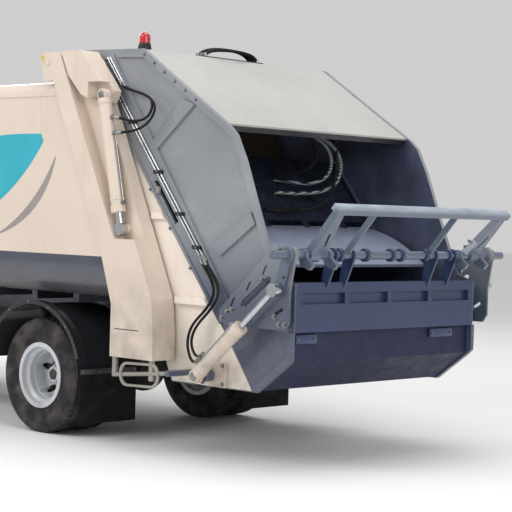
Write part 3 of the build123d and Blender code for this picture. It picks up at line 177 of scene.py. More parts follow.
def rubber(name, base, dust, scale=220, amount=0.55):
    s = Shade(name, specular=0.25)
    tone = s.mix(s.ramp(s.noise(9, 5), 0.42, 0.72, 0, amount), base, dust)
    s.colour(tone)
    s.rough(0.72, 0.92, 14)
    s.bump(s.noise(scale, 3), 0.25, 0.0008)
    return s.material


def plastic(name, base, low=0.35, high=0.5, grain=340):
    s = Shade(name, specular=0.4)
    s.colour(s.mix(s.ramp(s.noise(4, 4), 0.35, 0.7), darker(base, 0.82), base))
    s.rough(low, high)
    s.bump(s.noise(grain, 2), 0.12, 0.0005)
    return s.material


beige = toLinear(219, 203, 188)
slate = toLinear(68, 73, 88)
dustTone = toLinear(120, 112, 104)
tailgateGrey = toLinear(138, 142, 148)
navy = toLinear(88, 94, 118)


def bodyMaterial():
    # Beige sides over a slate skirt; the boundary is a masked paint line at a fixed height.
    s = Shade("bodyPaint", coat=0.35, coatRoughness=0.1)
    upper = s.mix(s.ramp(s.noise(1.6, 4), 0.35, 0.68), darker(beige, 0.93), beige)
    streak = s.ramp(s.noise(5.0, 5, (3.0, 3.0, 0.3)), 0.58, 0.8, 0, 0.3)
    upper = s.mix(streak, upper, darker(beige, 0.7))
    lower = s.mix(s.ramp(s.noise(5, 5), 0.4, 0.7), darker(slate, 0.8), slate)
    lower = s.mix(s.ramp(s.axis("Z"), 1.2, 0.98, 0, 0.45), lower, dustTone)
    s.colour(s.mix(s.ramp(s.axis("Z"), 1.262, 1.264), lower, upper))
    s.rough(0.26, 0.4)
    s.bump(s.noise(240, 2), 0.05, 0.0006)
    return s.material


def tailgateMaterial():
    # Grey paint outside with hazy wear and long scratches, painted shade that turns the grey navy towards the
    # bottom, and dark navy on the hopper's inner faces.
    s = Shade("tailgatePaint", coat=0.45, coatRoughness=0.1)
    tone = s.mix(s.ramp(s.noise(1.8, 4), 0.35, 0.68), darker(tailgateGrey, 0.84), tailgateGrey)
    haze = s.ramp(s.noise(3.0, 3), 0.52, 0.72, 0, 0.35)
    tone = s.mix(haze, tone, toLinear(168, 170, 172))
    # Painted shade: below 1.45 m the grey darkens towards navy, fully so at 1.0 m.
    tone = s.mix(s.ramp(s.axis("Z"), 1.45, 1.0), tone, toLinear(74, 80, 98))
    scratch = s.ramp(s.noise(26, 5, (1, 9, 1.5)), 0.64, 0.74, 0, 0.55)
    low = s.ramp(s.axis("Z"), 1.25, 0.7)
    tone = s.mix(s.maths("MULTIPLY", scratch, low), tone, toLinear(196, 200, 206))
    inside = s.ramp(s.maths("ABSOLUTE", s.axis("X"), 0), 0.8925, 0.8905)
    dark = s.mix(s.ramp(s.noise(4, 5), 0.4, 0.7), darker(navy, 0.55), navy)
    s.colour(s.mix(inside, tone, dark))
    s.rough(0.26, 0.44)
    s.bump(s.noise(260, 2), 0.05, 0.0006)
    return s.material


def coverMaterial():
    # Pale grey sheet outside; what lies more than a few millimetres under the slope or the top is painted shade,
    # near black, for the shadow under the hood.
    s = Shade("coverPaint", coat=0.4, coatRoughness=0.12)
    pale = toLinear(188, 187, 183)
    tone = s.mix(s.ramp(s.noise(1.4, 4), 0.35, 0.68), darker(pale, 0.88), pale)
    streak = s.ramp(s.noise(2.4, 2, (3.0, 0.35, 3.0)), 0.5, 0.8, 0, 0.2)
    tone = s.mix(streak, tone, darker(pale, 0.7))
    fromSlope = s.maths("ADD", s.maths("MULTIPLY", s.axis("Y"), 0.6363), s.maths("SUBTRACT", s.axis("Z"), 3.796))
    fromTop = s.maths("ADD", s.maths("MULTIPLY", s.axis("Y"), 0.0293), s.maths("SUBTRACT", s.axis("Z"), 2.6952))
    # Painted shade: the cover's underside and the header panel beneath it are coloured near black.
    tone = s.mix(s.ramp(s.maths("MAXIMUM", fromSlope, fromTop), -0.014, -0.010), toLinear(26, 27, 33), tone)
    s.colour(tone)
    s.rough(0.26, 0.42)
    s.bump(s.noise(260, 2), 0.05, 0.0006)
    return s.material


def lifterMaterial():
    # Dark slate arms and shaft; the bar that bins rest on is worn pale by them.
    s = Shade("lifterPaint", coat=0.5, coatRoughness=0.12)
    base = toLinear(92, 103, 120)
    tone = s.mix(s.ramp(s.noise(2.2, 4), 0.35, 0.68), darker(base, 0.85), base)
    worn = s.mix(s.ramp(s.noise(18, 5, (0.3, 1, 1)), 0.4, 0.65), toLinear(160, 172, 186), toLinear(196, 206, 214))
    tone = s.mix(s.ramp(s.axis("Z"), 1.60, 1.66), tone, worn)
    s.colour(tone)
    s.rough(0.26, 0.44)
    s.bump(s.noise(260, 2), 0.05, 0.0006)
    return s.material


def spiralMaterial():
    # Plastic guard wound about a hose: pale ridges with dark gaps.
    s = Shade("spiralWrap", specular=0.5)
    wave = s.tree.nodes.new("ShaderNodeTexWave")
    wave.bands_direction = "DIAGONAL"
    wave.inputs["Scale"].default_value = 26
    wave.inputs["Distortion"].default_value = 0.6
    s.link(s.coords, wave.inputs["Vector"])
    ridge = s.ramp(wave.outputs["Fac"], 0.35, 0.6)
    s.colour(s.mix(ridge, toLinear(26, 27, 30), toLinear(150, 154, 158)))
    s.rough(0.3, 0.45)
    s.bump(ridge, 0.5, 0.002)
    return s.material


def sinkMaterial():
    # Scraped steel inside the hopper and on the packer.
    s = Shade("scrapedSteel", metallic=0.35, roughness=0.55)
    base = toLinear(38, 44, 66)
    bare = toLinear(96, 100, 110)
    tone = s.mix(s.ramp(s.noise(3.5, 6), 0.4, 0.7), darker(base, 0.6), base)
    scratch = s.ramp(s.noise(30, 6, (1, 14, 1)), 0.6, 0.74, 0, 0.8)
    tone = s.mix(scratch, tone, bare)
    tone = s.mix(s.ramp(s.noise(11, 6), 0.63, 0.74, 0, 0.7), tone, toLinear(92, 66, 50))
    s.colour(tone)
    s.rough(0.42, 0.7, 16)
    s.bump(s.noise(42, 5), 0.35, 0.002)
    return s.material


def glassMaterial():
    s = Shade("cabGlass", roughness=0.04, specular=0.6)
    s.shader.inputs["Transmission Weight"].default_value = 0.75
    s.shader.inputs["IOR"].default_value = 1.45
    s.colour(s.mix(s.ramp(s.noise(3, 4), 0.4, 0.7), toLinear(70, 84, 88), toLinear(92, 106, 110)))
    s.rough(0.03, 0.1, 6)
    return s.material


def lensMaterial(name, base, glow=0.0):
    s = Shade(name, roughness=0.08, coat=0.8, coatRoughness=0.03)
    ridges = s.ramp(s.noise(60, 1, (1, 1, 6)), 0.35, 0.65)
    s.colour(s.mix(ridges, darker(base, 0.55), base))
    s.bump(ridges, 0.3, 0.001)
    s.shader.inputs["Emission Color"].default_value = base
    s.shader.inputs["Emission Strength"].default_value = glow
    return s.material


def clothMaterial():
    s = Shade("seatCloth", roughness=0.9, specular=0.2)
    s.shader.inputs["Sheen Weight"].default_value = 0.35
    base = toLinear(44, 47, 54)
    weave = s.ramp(s.noise(420, 2, (1, 1.6, 1)), 0.35, 0.65)
    s.colour(s.mix(weave, darker(base, 0.6), base))
    s.bump(weave, 0.35, 0.001)
    return s.material


material = {
    "body": bodyMaterial(),
    "beige": paint("beigePaint", beige, dustTone, 1.3, 0.5, grime=0.28),
    "slate": paint("slatePaint", slate, dustTone, 1.1, 0.5),
    "tailgate": tailgateMaterial(),
    "latch": paint("latchPaint", toLinear(150, 146, 138), dustTone, 0.9, 0.3, grime=0.4),
    "shade": plastic("shadowGap", toLinear(16, 16, 18)),
    "cover": coverMaterial(),
    "lifter": lifterMaterial(),
    "sill": paint("sillPaint", toLinear(46, 57, 92), None, low=0.32, high=0.46, coat=0.25, grime=0.5),
    "rear": paint("rearPaint", toLinear(14, 24, 60), None, low=0.5, high=0.65, coat=0.0, grime=0.4),
    "blade": paint("bladePaint", toLinear(148, 156, 178), None, low=0.35, high=0.55, grime=0.4),
    # Painted light: the tailgate's wings get a lighter copy of the beige, to brighten their rear-facing panels.
    "wing": paint("wingBeigePaintedLight", toLinear(238, 227, 214), dustTone, 0.9, 0.4, grime=0.25),
    "scraped": sinkMaterial(),
    "chassis": paint("chassisPaint", toLinear(34, 35, 38), dustTone, 0.9, 0.2, low=0.5, high=0.7, coat=0.0),
    "cast": paint("castPaint", toLinear(50, 50, 52), dustTone, 0.8, 0.1, low=0.6, high=0.8, coat=0.0, peel=0.4),
    "rim": paint("rimPaint", toLinear(196, 199, 204), dustTone, 0.5, 0.0, low=0.25, high=0.42, grime=0.3),
    "chrome": steel("chromeRod", toLinear(205, 207, 212), 0.06, 0.16),
    "pipe": steel("pipeSteel", toLinear(190, 193, 198), 0.16, 0.3, (60, 1, 1)),
    "zinc": steel("zincBolt", toLinear(150, 152, 150), 0.3, 0.5),
    "tank": steel("tankAluminium", toLinear(170, 172, 175), 0.25, 0.42),
    "tyre": rubber("tyreRubber", toLinear(42, 40, 41), toLinear(104, 99, 96)),
    "flap": rubber("flapRubber", toLinear(14, 15, 18), toLinear(44, 43, 44), 90, 0.4),
    "hose": rubber("hoseRubber", toLinear(20, 20, 22), toLinear(58, 56, 54), 300, 0.3),
    "spiral": spiralMaterial(),
    "guard": plastic("guardPlastic", toLinear(46, 47, 51), 0.08, 0.16),
    "black": plastic("blackPlastic", toLinear(27, 28, 31)),
    "grey": plastic("greyPlastic", toLinear(70, 72, 76)),
    "glass": glassMaterial(),
    "lens": lensMaterial("clearLens", toLinear(222, 226, 232)),
    "red": lensMaterial("redLens", toLinear(190, 20, 30), 0.15),
    "amber": lensMaterial("amberLens", toLinear(226, 120, 20), 0.1),
    "cloth": clothMaterial(),
    "teal": paint("tealFilm", toLinear(38, 170, 190), None, grime=0.15, low=0.2, high=0.3),
    "taupe": paint("taupeFilm", toLinear(150, 142, 140), None, grime=0.15, low=0.2, high=0.3),
    "yellow": paint("greaseMark", toLinear(206, 178, 70), None, grime=0.4, low=0.3, high=0.5),
}

nodeLooks = {
    "frame": "chassis", "leaf_springs": "cast", "front_axle": "cast", "rear_axle": "cast", "engine_block": "cast",
    "propeller_shaft": "chassis", "fuel_tank": "tank", "battery_box": "black", "bumper": "black",
    "mudguards": "guard", "mudflaps": "flap", "body_sides": "body", "body_roof": "body", "body_floor": "slate",
    "body_front_wall": "body", "rear_posts": "beige", "ejector_plate": "scraped", "cab_shell": "beige",
    "cab_glass": "glass", "grille": "black", "headlamps": "lens", "seats": "cloth", "dashboard": "grey",
    "mirrors": "black", "door_left": "beige", "door_right": "beige", "door_glass_left": "glass",
    "door_glass_right": "glass", "knuckle_left": "cast", "knuckle_right": "cast", "tyre_front_left": "tyre",
    "tyre_front_right": "tyre", "rim_front_left": "rim", "rim_front_right": "rim", "tyres_rear_left": "tyre",
    "tyres_rear_right": "tyre", "rims_rear_left": "rim", "rims_rear_right": "rim", "tailgate_sides": "tailgate",
    "tailgate_wings": "wing", "hinge_arms": "beige", "hopper_tub": "rear", "sill_beam": "sill",
    "hopper_cover": "cover", "tailgate_latches": "latch", "lifter_plates": "tailgate", "beacon": "red",
    "hydraulic_lines": "pipe", "lift_barrels": "beige", "lift_rods": "chrome", "packer_slide": "scraped",
    "sweep_blade": "blade", "lifter_frame": "lifter", "bin_hooks": "lifter", "lifter_barrels": "beige",
    "lifter_rods": "chrome",
}
for nodeName, look in nodeLooks.items():
    if nodeName in nodes:
        nodes[nodeName].data.materials.clear()
        nodes[nodeName].data.materials.append(material[look])
for nodeName in nodes:
    if nodeName not in nodeLooks:
        print("no look for", nodeName)
print("materials set")


# Modelling helpers: pieces are gathered into one mesh per body and material
def newPiece(name, mesh, look, body):
    data = bpy.data.meshes.new(name)
    mesh.to_mesh(data)
    mesh.free()
    data.materials.append(material[look])
    data.shade_smooth()
    data.set_sharp_from_angle(angle=radians(35))
    piece = bpy.data.objects.new(name, data)
    scene.collection.objects.link(piece)
    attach(piece, body)
    return piece


def facing(direction):
    # Rotation that turns +Z to a direction.
    return Vector(direction).to_track_quat("Z", "Y").to_matrix().to_4x4()


def placed(mesh, verts, point, direction):
    bmesh.ops.transform(mesh, matrix=Matrix.Translation(Vector(point)) @ facing(direction), verts=verts)


def addRod(mesh, start, end, radius, segments=20):
    start, end = Vector(start), Vector(end)
    made = bmesh.ops.create_cone(mesh, cap_ends=True, segments=segments, radius1=radius, radius2=radius,
                                 depth=(end - start).length)
    placed(mesh, made["verts"], (start + end) / 2, end - start)


def addBolt(mesh, point, direction, across=0.018, height=0.011, washer=0.017):
    # Hexagon head on a washer, with its chamfered top.
    direction = Vector(direction).normalized()
    base = bmesh.ops.create_cone(mesh, cap_ends=True, segments=18, radius1=washer, radius2=washer, depth=0.003)
    placed(mesh, base["verts"], Vector(point) + direction * 0.0015, direction)
    head = bmesh.ops.create_cone(mesh, cap_ends=True, segments=6, radius1=across / 1.732, radius2=across / 1.732,
                                 depth=height)
    placed(mesh, head["verts"], Vector(point) + direction * (0.003 + height / 2), direction)
    top = bmesh.ops.create_cone(mesh, cap_ends=True, segments=6, radius1=across / 1.732, radius2=across / 2.3,
                                depth=height * 0.25)
    placed(mesh, top["verts"], Vector(point) + direction * (0.003 + height * 1.125), direction)


def addBox(mesh, low, high, bevel=0.0):
    made = bmesh.ops.create_cube(mesh, size=1)
    size = Vector(high) - Vector(low)
    bmesh.ops.scale(mesh, vec=size, verts=made["verts"])
    bmesh.ops.translate(mesh, vec=(Vector(high) + Vector(low)) / 2, verts=made["verts"])
    if bevel:
        edges = list({e for v in made["verts"] for e in v.link_edges})
        bmesh.ops.bevel(mesh, geom=edges, offset=bevel, segments=2, profile=0.5, affect="EDGES", material=-1)


def addSpin(mesh, profile, centre, direction, steps=32):
    # A turned part from a (radius, height) profile about an axis.
    verts = [mesh.verts.new((r, 0, h)) for r, h in profile]
    edges = [mesh.edges.new((a, b)) for a, b in zip(verts, verts[1:])]
    bmesh.ops.spin(mesh, geom=verts + edges, cent=(0, 0, 0), axis=(0, 0, 1), angle=2 * pi, steps=steps,
                   use_merge=True)
    members = set(verts)
    stack = list(verts)
    while stack:
        for edge in stack.pop().link_edges:
            for v in edge.verts:
                if v not in members:
                    members.add(v)
                    stack.append(v)
    placed(mesh, list(members), centre, direction)
    bmesh.ops.remove_doubles(mesh, verts=[v for v in mesh.verts if v.is_valid], dist=0.00002)
    bmesh.ops.recalc_face_normals(mesh, faces=mesh.faces)


def side(flip, x, y, z):
    # A point on the left side, or its mirror image on the right where flip is -1.
    return (x * flip, y + axleY, z)


def addSideBox(mesh, flip, xs, ys, zs, bevel=0.0):
    low, high = sorted((flip * xs[0], flip * xs[1]))
    addBox(mesh, (low, ys[0] + axleY, zs[0]), (high, ys[1] + axleY, zs[1]), bevel)


def beamY(z):
    # Front edge of the tailgate's slanted beam at a height.
    return 0.281 + (2.665 - z) * 0.7988


# Camera, lights and floor
def addCamera():
    place = Vector((8.054, 8.872 + axleY, 1.564))
    yaw, pitch, roll = radians(46.12), radians(-1.44), radians(1.70)
    ahead = Vector((-sin(yaw) * cos(pitch), -cos(yaw) * cos(pitch), sin(pitch)))
    right = ahead.cross(Vector((0, 0, 1))).normalized()
    up = right.cross(ahead)
    right, up = cos(roll) * right + sin(roll) * up, -sin(roll) * right + cos(roll) * up
    data = bpy.data.cameras.new("photoCamera")
    data.sensor_width = 36
    data.lens = 1610 / 512 * 36
    data.clip_end = 200
    camera = bpy.data.objects.new("photoCamera", data)
    camera.matrix_world = Matrix.Translation(place) @ Matrix((right, up, -ahead)).transposed().to_4x4()
    scene.collection.objects.link(camera)
    scene.camera = camera


def addArea(name, place, target, size, power):
    data = bpy.data.lights.new(name, "AREA")
    data.shape = "RECTANGLE"
    data.size = size
    data.size_y = size * 0.7
    data.energy = power
    light = bpy.data.objects.new(name, data)
    light.location = place
    light.rotation_euler = (Vector(target) - Vector(place)).to_track_quat("-Z", "Y").to_euler()
    scene.collection.objects.link(light)


def addStage():
    mesh = bmesh.new()
    bmesh.ops.create_grid(mesh, x_segments=1, y_segments=1, size=60)
    data = bpy.data.meshes.new("studioFloor")
    mesh.to_mesh(data)
    mesh.free()
    s = Shade("studioFloorPale", roughness=0.9, specular=0.1)
    s.colour(s.mix(s.ramp(s.noise(0.6), 0.3, 0.7), toLinear(236, 236, 236), toLinear(240, 240, 240)))
    data.materials.append(s.material)
    floor = bpy.data.objects.new("studioFloor", data)
    scene.collection.objects.link(floor)
    world = bpy.data.worlds.new("studioWorld")
    world.use_nodes = True
    world.node_tree.nodes["Background"].inputs["Color"].default_value = (1, 1, 1, 1)
    world.node_tree.nodes["Background"].inputs["Strength"].default_value = 0.62
    scene.world = world
    addArea("keyLight", (9, -1, 8), (0, 1, 1), 7, 500)
    addArea("topLight", (0, 3, 10), (0, 2, 0), 8, 380)
    addArea("rearLight", (3, 12, 5), (0, 2, 1.2), 6, 290)
    addArea("frontLight", (-6, -9, 6), (0, -3, 1.2), 6, 330)


scene.view_settings.view_transform = "Standard"
addCamera()
addStage()
print("camera and stage set")


# Tyres with ribs and shoulder lugs; they stand for the plain CAD rings
def addTyre(mesh, x, y, z):
    # Half profile from the middle of the tread to the bead as (radius, distance from the middle plane).
    half = [(tyreRadius, 0.0), (tyreRadius, 0.013), (0.3915, 0.0145), (0.3915, 0.0205), (tyreRadius, 0.022),
            (0.4020, 0.043), (0.3915, 0.0445), (0.3915, 0.0505), (0.4015, 0.052), (0.3995, 0.078), (0.3935, 0.086),
            (0.3765, 0.093), (0.3725, 0.0955), (0.352, 0.1005), (0.345, 0.1022), (0.318, 0.1025), (0.290, 0.1003),
            (0.272, 0.0975), (0.269, 0.0985), (0.262, 0.0975), (0.259, 0.0945), (0.246, 0.0890), (0.238, 0.0845),
            (0.2315, 0.0835)]
    steps = 96
    before = len(mesh.faces)
    addSpin(mesh, [(r, -h) for r, h in reversed(half[1:])] + half, (x, y, z), (1, 0, 0), steps)
    mesh.faces.ensure_lookup_table()
    lugs = []
    for face in mesh.faces[before:]:
        c = face.calc_center_median()
        turn = round(atan2(c.y - y, c.z - z) / (2 * pi / steps) - 0.5)
        across = c.x - x
        if hypot(c.y - y, c.z - z) > 0.398 and 0.052 < abs(across) < 0.08 and (turn + (across > 0)) % 2:
            lugs.append(face)
    bmesh.ops.inset_individual(mesh, faces=lugs, thickness=0.0035, depth=-0.008)


tyres = [
    {"name": "FrontLeft", "node": "tyre_front_left", "body": "wheel_front_left", "y": frontAxle, "x": [0.8325]},
    {"name": "FrontRight", "node": "tyre_front_right", "body": "wheel_front_right", "y": frontAxle, "x": [-0.8325]},
    {"name": "RearLeft", "node": "tyres_rear_left", "body": "wheels_rear_left", "y": 0, "x": [0.8875, 0.6375]},
    {"name": "RearRight", "node": "tyres_rear_right", "body": "wheels_rear_right", "y": 0,
     "x": [-0.8875, -0.6375]},
]
for row in tyres:
    mesh = bmesh.new()
    for x in row["x"]:
        addTyre(mesh, x, row["y"] + axleY, tyreRadius)
    piece = newPiece("tyreTread" + row["name"], mesh, "tyre", row["body"])
    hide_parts(row["node"])
print("tyres made")

# Wheel nuts, hub caps and valves
wheels = [
    {"name": "FrontLeft", "body": "wheel_front_left", "y": frontAxle, "face": 0.9575, "cap": 1.0055, "out": 1},
    {"name": "FrontRight", "body": "wheel_front_right", "y": frontAxle, "face": -0.9575, "cap": -1.0055, "out": -1},
    {"name": "RearLeft", "body": "wheels_rear_left", "y": 0, "face": 0.7745, "cap": 0.8575, "out": 1},
    {"name": "RearRight", "body": "wheels_rear_right", "y": 0, "face": -0.7745, "cap": -0.8575, "out": -1},
]
for row in wheels:
    nuts, caps = bmesh.new(), bmesh.new()
    y, out = row["y"] + axleY, row["out"]
    nutCircle, boltCircle = 0.094, 0.043
    for i in range(6):
        a = radians(60 * i + 12)
        place = (row["face"], y + nutCircle * sin(a), tyreRadius + nutCircle * cos(a))
        addBolt(nuts, place, (out, 0, 0), 0.030, 0.018, 0.019)
        addRod(nuts, place, (row["face"] + out * 0.034, place[1], place[2]), 0.009, 12)
    addSpin(caps, [(0.0, 0.016), (0.020, 0.014), (0.036, 0.006), (0.040, -0.004), (0.048, -0.006), (0.050, -0.018)],
            (row["cap"], y, tyreRadius), (out, 0, 0), 36)
    for i in range(5):
        a = radians(72 * i)
        place = (row["cap"] - out * 0.006, y + boltCircle * sin(a), tyreRadius + boltCircle * cos(a))
        addBolt(caps, place, (out, 0, 0), 0.008, 0.004, 0.0055)
    valve = (row["cap"] - out * 0.04, y + 0.166, tyreRadius + 0.02)
    addRod(nuts, (valve[0] - out * 0.03, valve[1] + 0.004, valve[2]), valve, 0.0045, 12)
    newPiece("wheelNuts" + row["name"], nuts, "zinc", row["body"])
    newPiece("hubCap" + row["name"], caps, "chassis", row["body"])
print("wheel hardware made")

# Bolts on the lifter plates, the sloping flange and the slanted beam, as (x, y, z) on the left side
plateFace, flangeFace = 1.005, 0.9222
platePoints = [(1.815, 0.925), (1.86, 0.965), (2.235, 1.325), (2.285, 1.365), (2.345, 0.915), (2.30, 0.915),
               (1.90, 0.98), (2.15, 1.18), (2.26, 0.96), (2.345, 1.20)]
boltRows = {
    "lifterPlate": [(plateFace, y, z) for y, z in platePoints],
    "flange": [(flangeFace, 0.94 + 0.499 * i / 5, 2.605 - 0.315 * i / 5) for i in range(6)],
    "beam": [(flangeFace, 0.795 + 0.7988 * d, 2.015 - d) for d in (-0.46, -0.2, 0.05, 0.3, 0.55, 0.8)],
}
mesh = bmesh.new()
for name, row in boltRows.items():
    size = 0.020 if name == "lifterPlate" else 0.012
    for point in row:
        for flip in (1, -1):
            addBolt(mesh, side(flip, *point), (flip, 0, 0), size, size * 0.6, size * 0.95)
newPiece("tailgateBolts", mesh, "zinc", "tailgate")

# Clamps and end fittings of the rigid pipes
pipeRun = {"x": 0.9203, "offsets": (0.140, 0.172), "top": 2.56, "foot": 1.28,
           "clamps": (2.44, 2.16, 1.83, 1.56, 1.35)}
mesh, bright = bmesh.new(), bmesh.new()
for flip in (1, -1):
    for z in pipeRun["clamps"]:
        y = beamY(z)
        addSideBox(mesh, flip, (0.9125, 0.932), (y + 0.118, y + 0.195), (z - 0.012, z + 0.012), 0.003)
        addBolt(bright, side(flip, 0.932, y + 0.156, z), (flip, 0, 0), 0.009, 0.005, 0.008)
    for offset in pipeRun["offsets"]:
        for z, step in ((pipeRun["top"], 0.02), (pipeRun["foot"], -0.02)):
            y = beamY(z) + offset
            start, end = (side(flip, pipeRun["x"], y + sign * step * 0.8, z - sign * step) for sign in (1, -1))
            addRod(bright, start, end, 0.0125, 6)
newPiece("pipeClamps", mesh, "black", "tailgate")
newPiece("pipeFittings", bright, "zinc", "tailgate")

# Beacon's dark base ring
mesh = bmesh.new()
addSpin(mesh, [(0.034, 0.004), (0.044, 0.004), (0.046, 0.012), (0.042, 0.034), (0.039, 0.046), (0.0385, 0.048)],
        (0.850, 0.860 + axleY, 2.640), (0, 0, 1), 40)
newPiece("beaconBase", mesh, "black", "tailgate")
print("tailgate details made")


# Sweeping bands of film on the body's sides, each between a lower and an upper curve
def curvePoints(start, bend, end, count=28):
    # Points along one curve from a start to an end that leans towards a bend, each as (y, z).
    found = []
    for i in range(count + 1):
        t, pairs = i / count, zip(start, bend, end)
        found.append(tuple((1 - t) ** 2 * a + 2 * t * (1 - t) * b + t * t * c for a, b, c in pairs))
    return found


def addBand(mesh, flip, lower, upper):
    low, high = curvePoints(*lower), curvePoints(*upper)
    rows = [[mesh.verts.new(side(flip, bodySide + 0.0005, y, z)) for y, z in points] for points in (low, high)]
    for i in range(len(low) - 1):
        corners = [rows[0][i], rows[0][i + 1], rows[1][i + 1], rows[1][i]]
        if low[i + 1] == high[i + 1]:
            corners = corners[:3]
        mesh.faces.new(corners)
    mesh.normal_update()


bands = [
    {"name": "bandTeal", "look": "teal", "shapes": [
        (((-1.50, 1.32), (-0.34, 1.38), (0.16, 2.08)), ((-1.50, 1.86), (-0.72, 2.12), (0.16, 2.08))),
        (((-2.45, 1.36), (-2.02, 1.42), (-1.72, 1.98)), ((-2.45, 1.60), (-2.12, 1.70), (-1.72, 1.98)))]},
    {"name": "bandTaupe", "look": "taupe", "shapes": [
        (((-0.62, 1.33), (0.16, 1.42), (0.27, 1.96)), ((-0.42, 1.36), (0.06, 1.56), (0.27, 1.96)))]},
]
for row in bands:
    mesh = bmesh.new()
    for lower, upper in row["shapes"]:
        for flip in (1, -1):
            addBand(mesh, flip, lower, upper)
    for face in mesh.faces:
        if face.normal.x * face.calc_center_median().x < 0:
            face.normal_flip()
    newPiece(row["name"], mesh, row["look"], "chassis")

# Side markers along the skirt, with their housings
mesh, housing = bmesh.new(), bmesh.new()
for y in (-2.35, -1.35, -0.75):
    for flip in (1, -1):
        addSideBox(housing, flip, (bodySide, bodySide + 0.009), (y - 0.062, y + 0.062), (1.222, 1.258), 0.004)
        addSideBox(mesh, flip, (bodySide + 0.008, bodySide + 0.017), (y - 0.052, y + 0.052), (1.228, 1.252), 0.004)
newPiece("sideMarkers", mesh, "amber", "chassis")
newPiece("markerHousings", housing, "black", "chassis")

# Seams of the body panels and a rain gutter along the roof's edge
mesh = bmesh.new()
for flip in (1, -1):
    for y in (-2.60, -1.60, -0.60):
        seam = (bodySide - 0.0005, bodySide + 0.0015)
        addSideBox(mesh, flip, seam, (y - 0.012, y + 0.012), (1.30, 2.345), 0.0008)
    addSideBox(mesh, flip, (bodySide - 0.005, bodySide + 0.007), (-2.685, 0.28), (2.338, 2.352), 0.004)
newPiece("bodySeams", mesh, "beige", "chassis")
print("body details made")

# Mudguard lip bolts and flap plates
guardRadius = 0.517
mesh, dark = bmesh.new(), bmesh.new()
for flip in (1, -1):
    for turn in (-55, -30, -5, 20, 45):
        a = radians(turn)
        place = side(flip, 1.0562, guardRadius * sin(a), tyreRadius + guardRadius * cos(a))
        addBolt(mesh, place, (flip, 0, 0), 0.010, 0.005, 0.009)
    for x in (0.56, 0.72, 0.88, 1.02):
        addBolt(mesh, side(flip, x, 0.5145, 0.470), (0, 1, 0), 0.012, 0.006, 0.012)
    addSideBox(dark, flip, (0.535, 1.040), (0.5146, 0.5186), (0.452, 0.488), 0.001)
newPiece("guardBolts", mesh, "zinc", "chassis")
newPiece("flapPlates", dark, "chassis", "chassis")

# Rivets along the frame rails
mesh = bmesh.new()
for flip in (1, -1):
    for i in range(34):
        y = -4.15 + i * 0.145
        for z in (0.632, 0.768):
            dome = bmesh.ops.create_uvsphere(mesh, u_segments=10, v_segments=6, radius=0.010)
            bmesh.ops.scale(mesh, vec=(0.45, 1, 1), verts=dome["verts"])
            bmesh.ops.translate(mesh, vec=side(flip, 0.388, y, z), verts=dome["verts"])
newPiece("railRivets", mesh, "chassis", "chassis")

# Tank cap
mesh = bmesh.new()
addSpin(mesh, [(0.0, 0.022), (0.034, 0.022), (0.043, 0.014), (0.045, 0.0), (0.045, -0.010)],
        (-0.8805, -1.720 + axleY, 0.851), (-0.35, 0, 0.9), 36)
newPiece("tankCap", mesh, "black", "chassis")
print("chassis details made")

# Lifter: bolts, and collars on the torque shaft
tilt = radians(49.2)


def onLifter(x, along, out=0.0):
    # A point on the lifter's frame from the shaft outwards, and off its plane.
    y = shaftY + along * cos(tilt) - out * sin(tilt)
    return (x, y + axleY, shaftZ + along * sin(tilt) + out * cos(tilt))


outward = (0, -sin(tilt), cos(tilt))
collar = [(0.0275, -0.016), (0.040, -0.016), (0.042, -0.012), (0.042, 0.012), (0.040, 0.016), (0.0275, 0.016)]
mesh, zinc = bmesh.new(), bmesh.new()
for flip in (1, -1):
    for x in (0.55, 0.30, 0.05):
        addSpin(mesh, collar, (flip * x, shaftY + axleY, shaftZ), (1, 0, 0), 32)
        addBolt(zinc, (flip * x, shaftY + 0.041 + axleY, shaftZ), (0, 1, 0), 0.012, 0.007, 0.009)
    for along in (0.06, 0.11):
        addBolt(zinc, onLifter(flip * 0.715, along, 0.0245), outward, 0.013, 0.008, 0.012)
        addBolt(zinc, onLifter(flip * 0.835, along, 0.0245), outward, 0.013, 0.008, 0.012)
    for x in (0.80, 0.62, 0.25):
        addBolt(zinc, onLifter(flip * x, 0.369, 0.0302), outward, 0.011, 0.006, 0.010)
newPiece("shaftCollars", mesh, "sill", "lifter")
newPiece("lifterBolts", zinc, "zinc", "lifter")

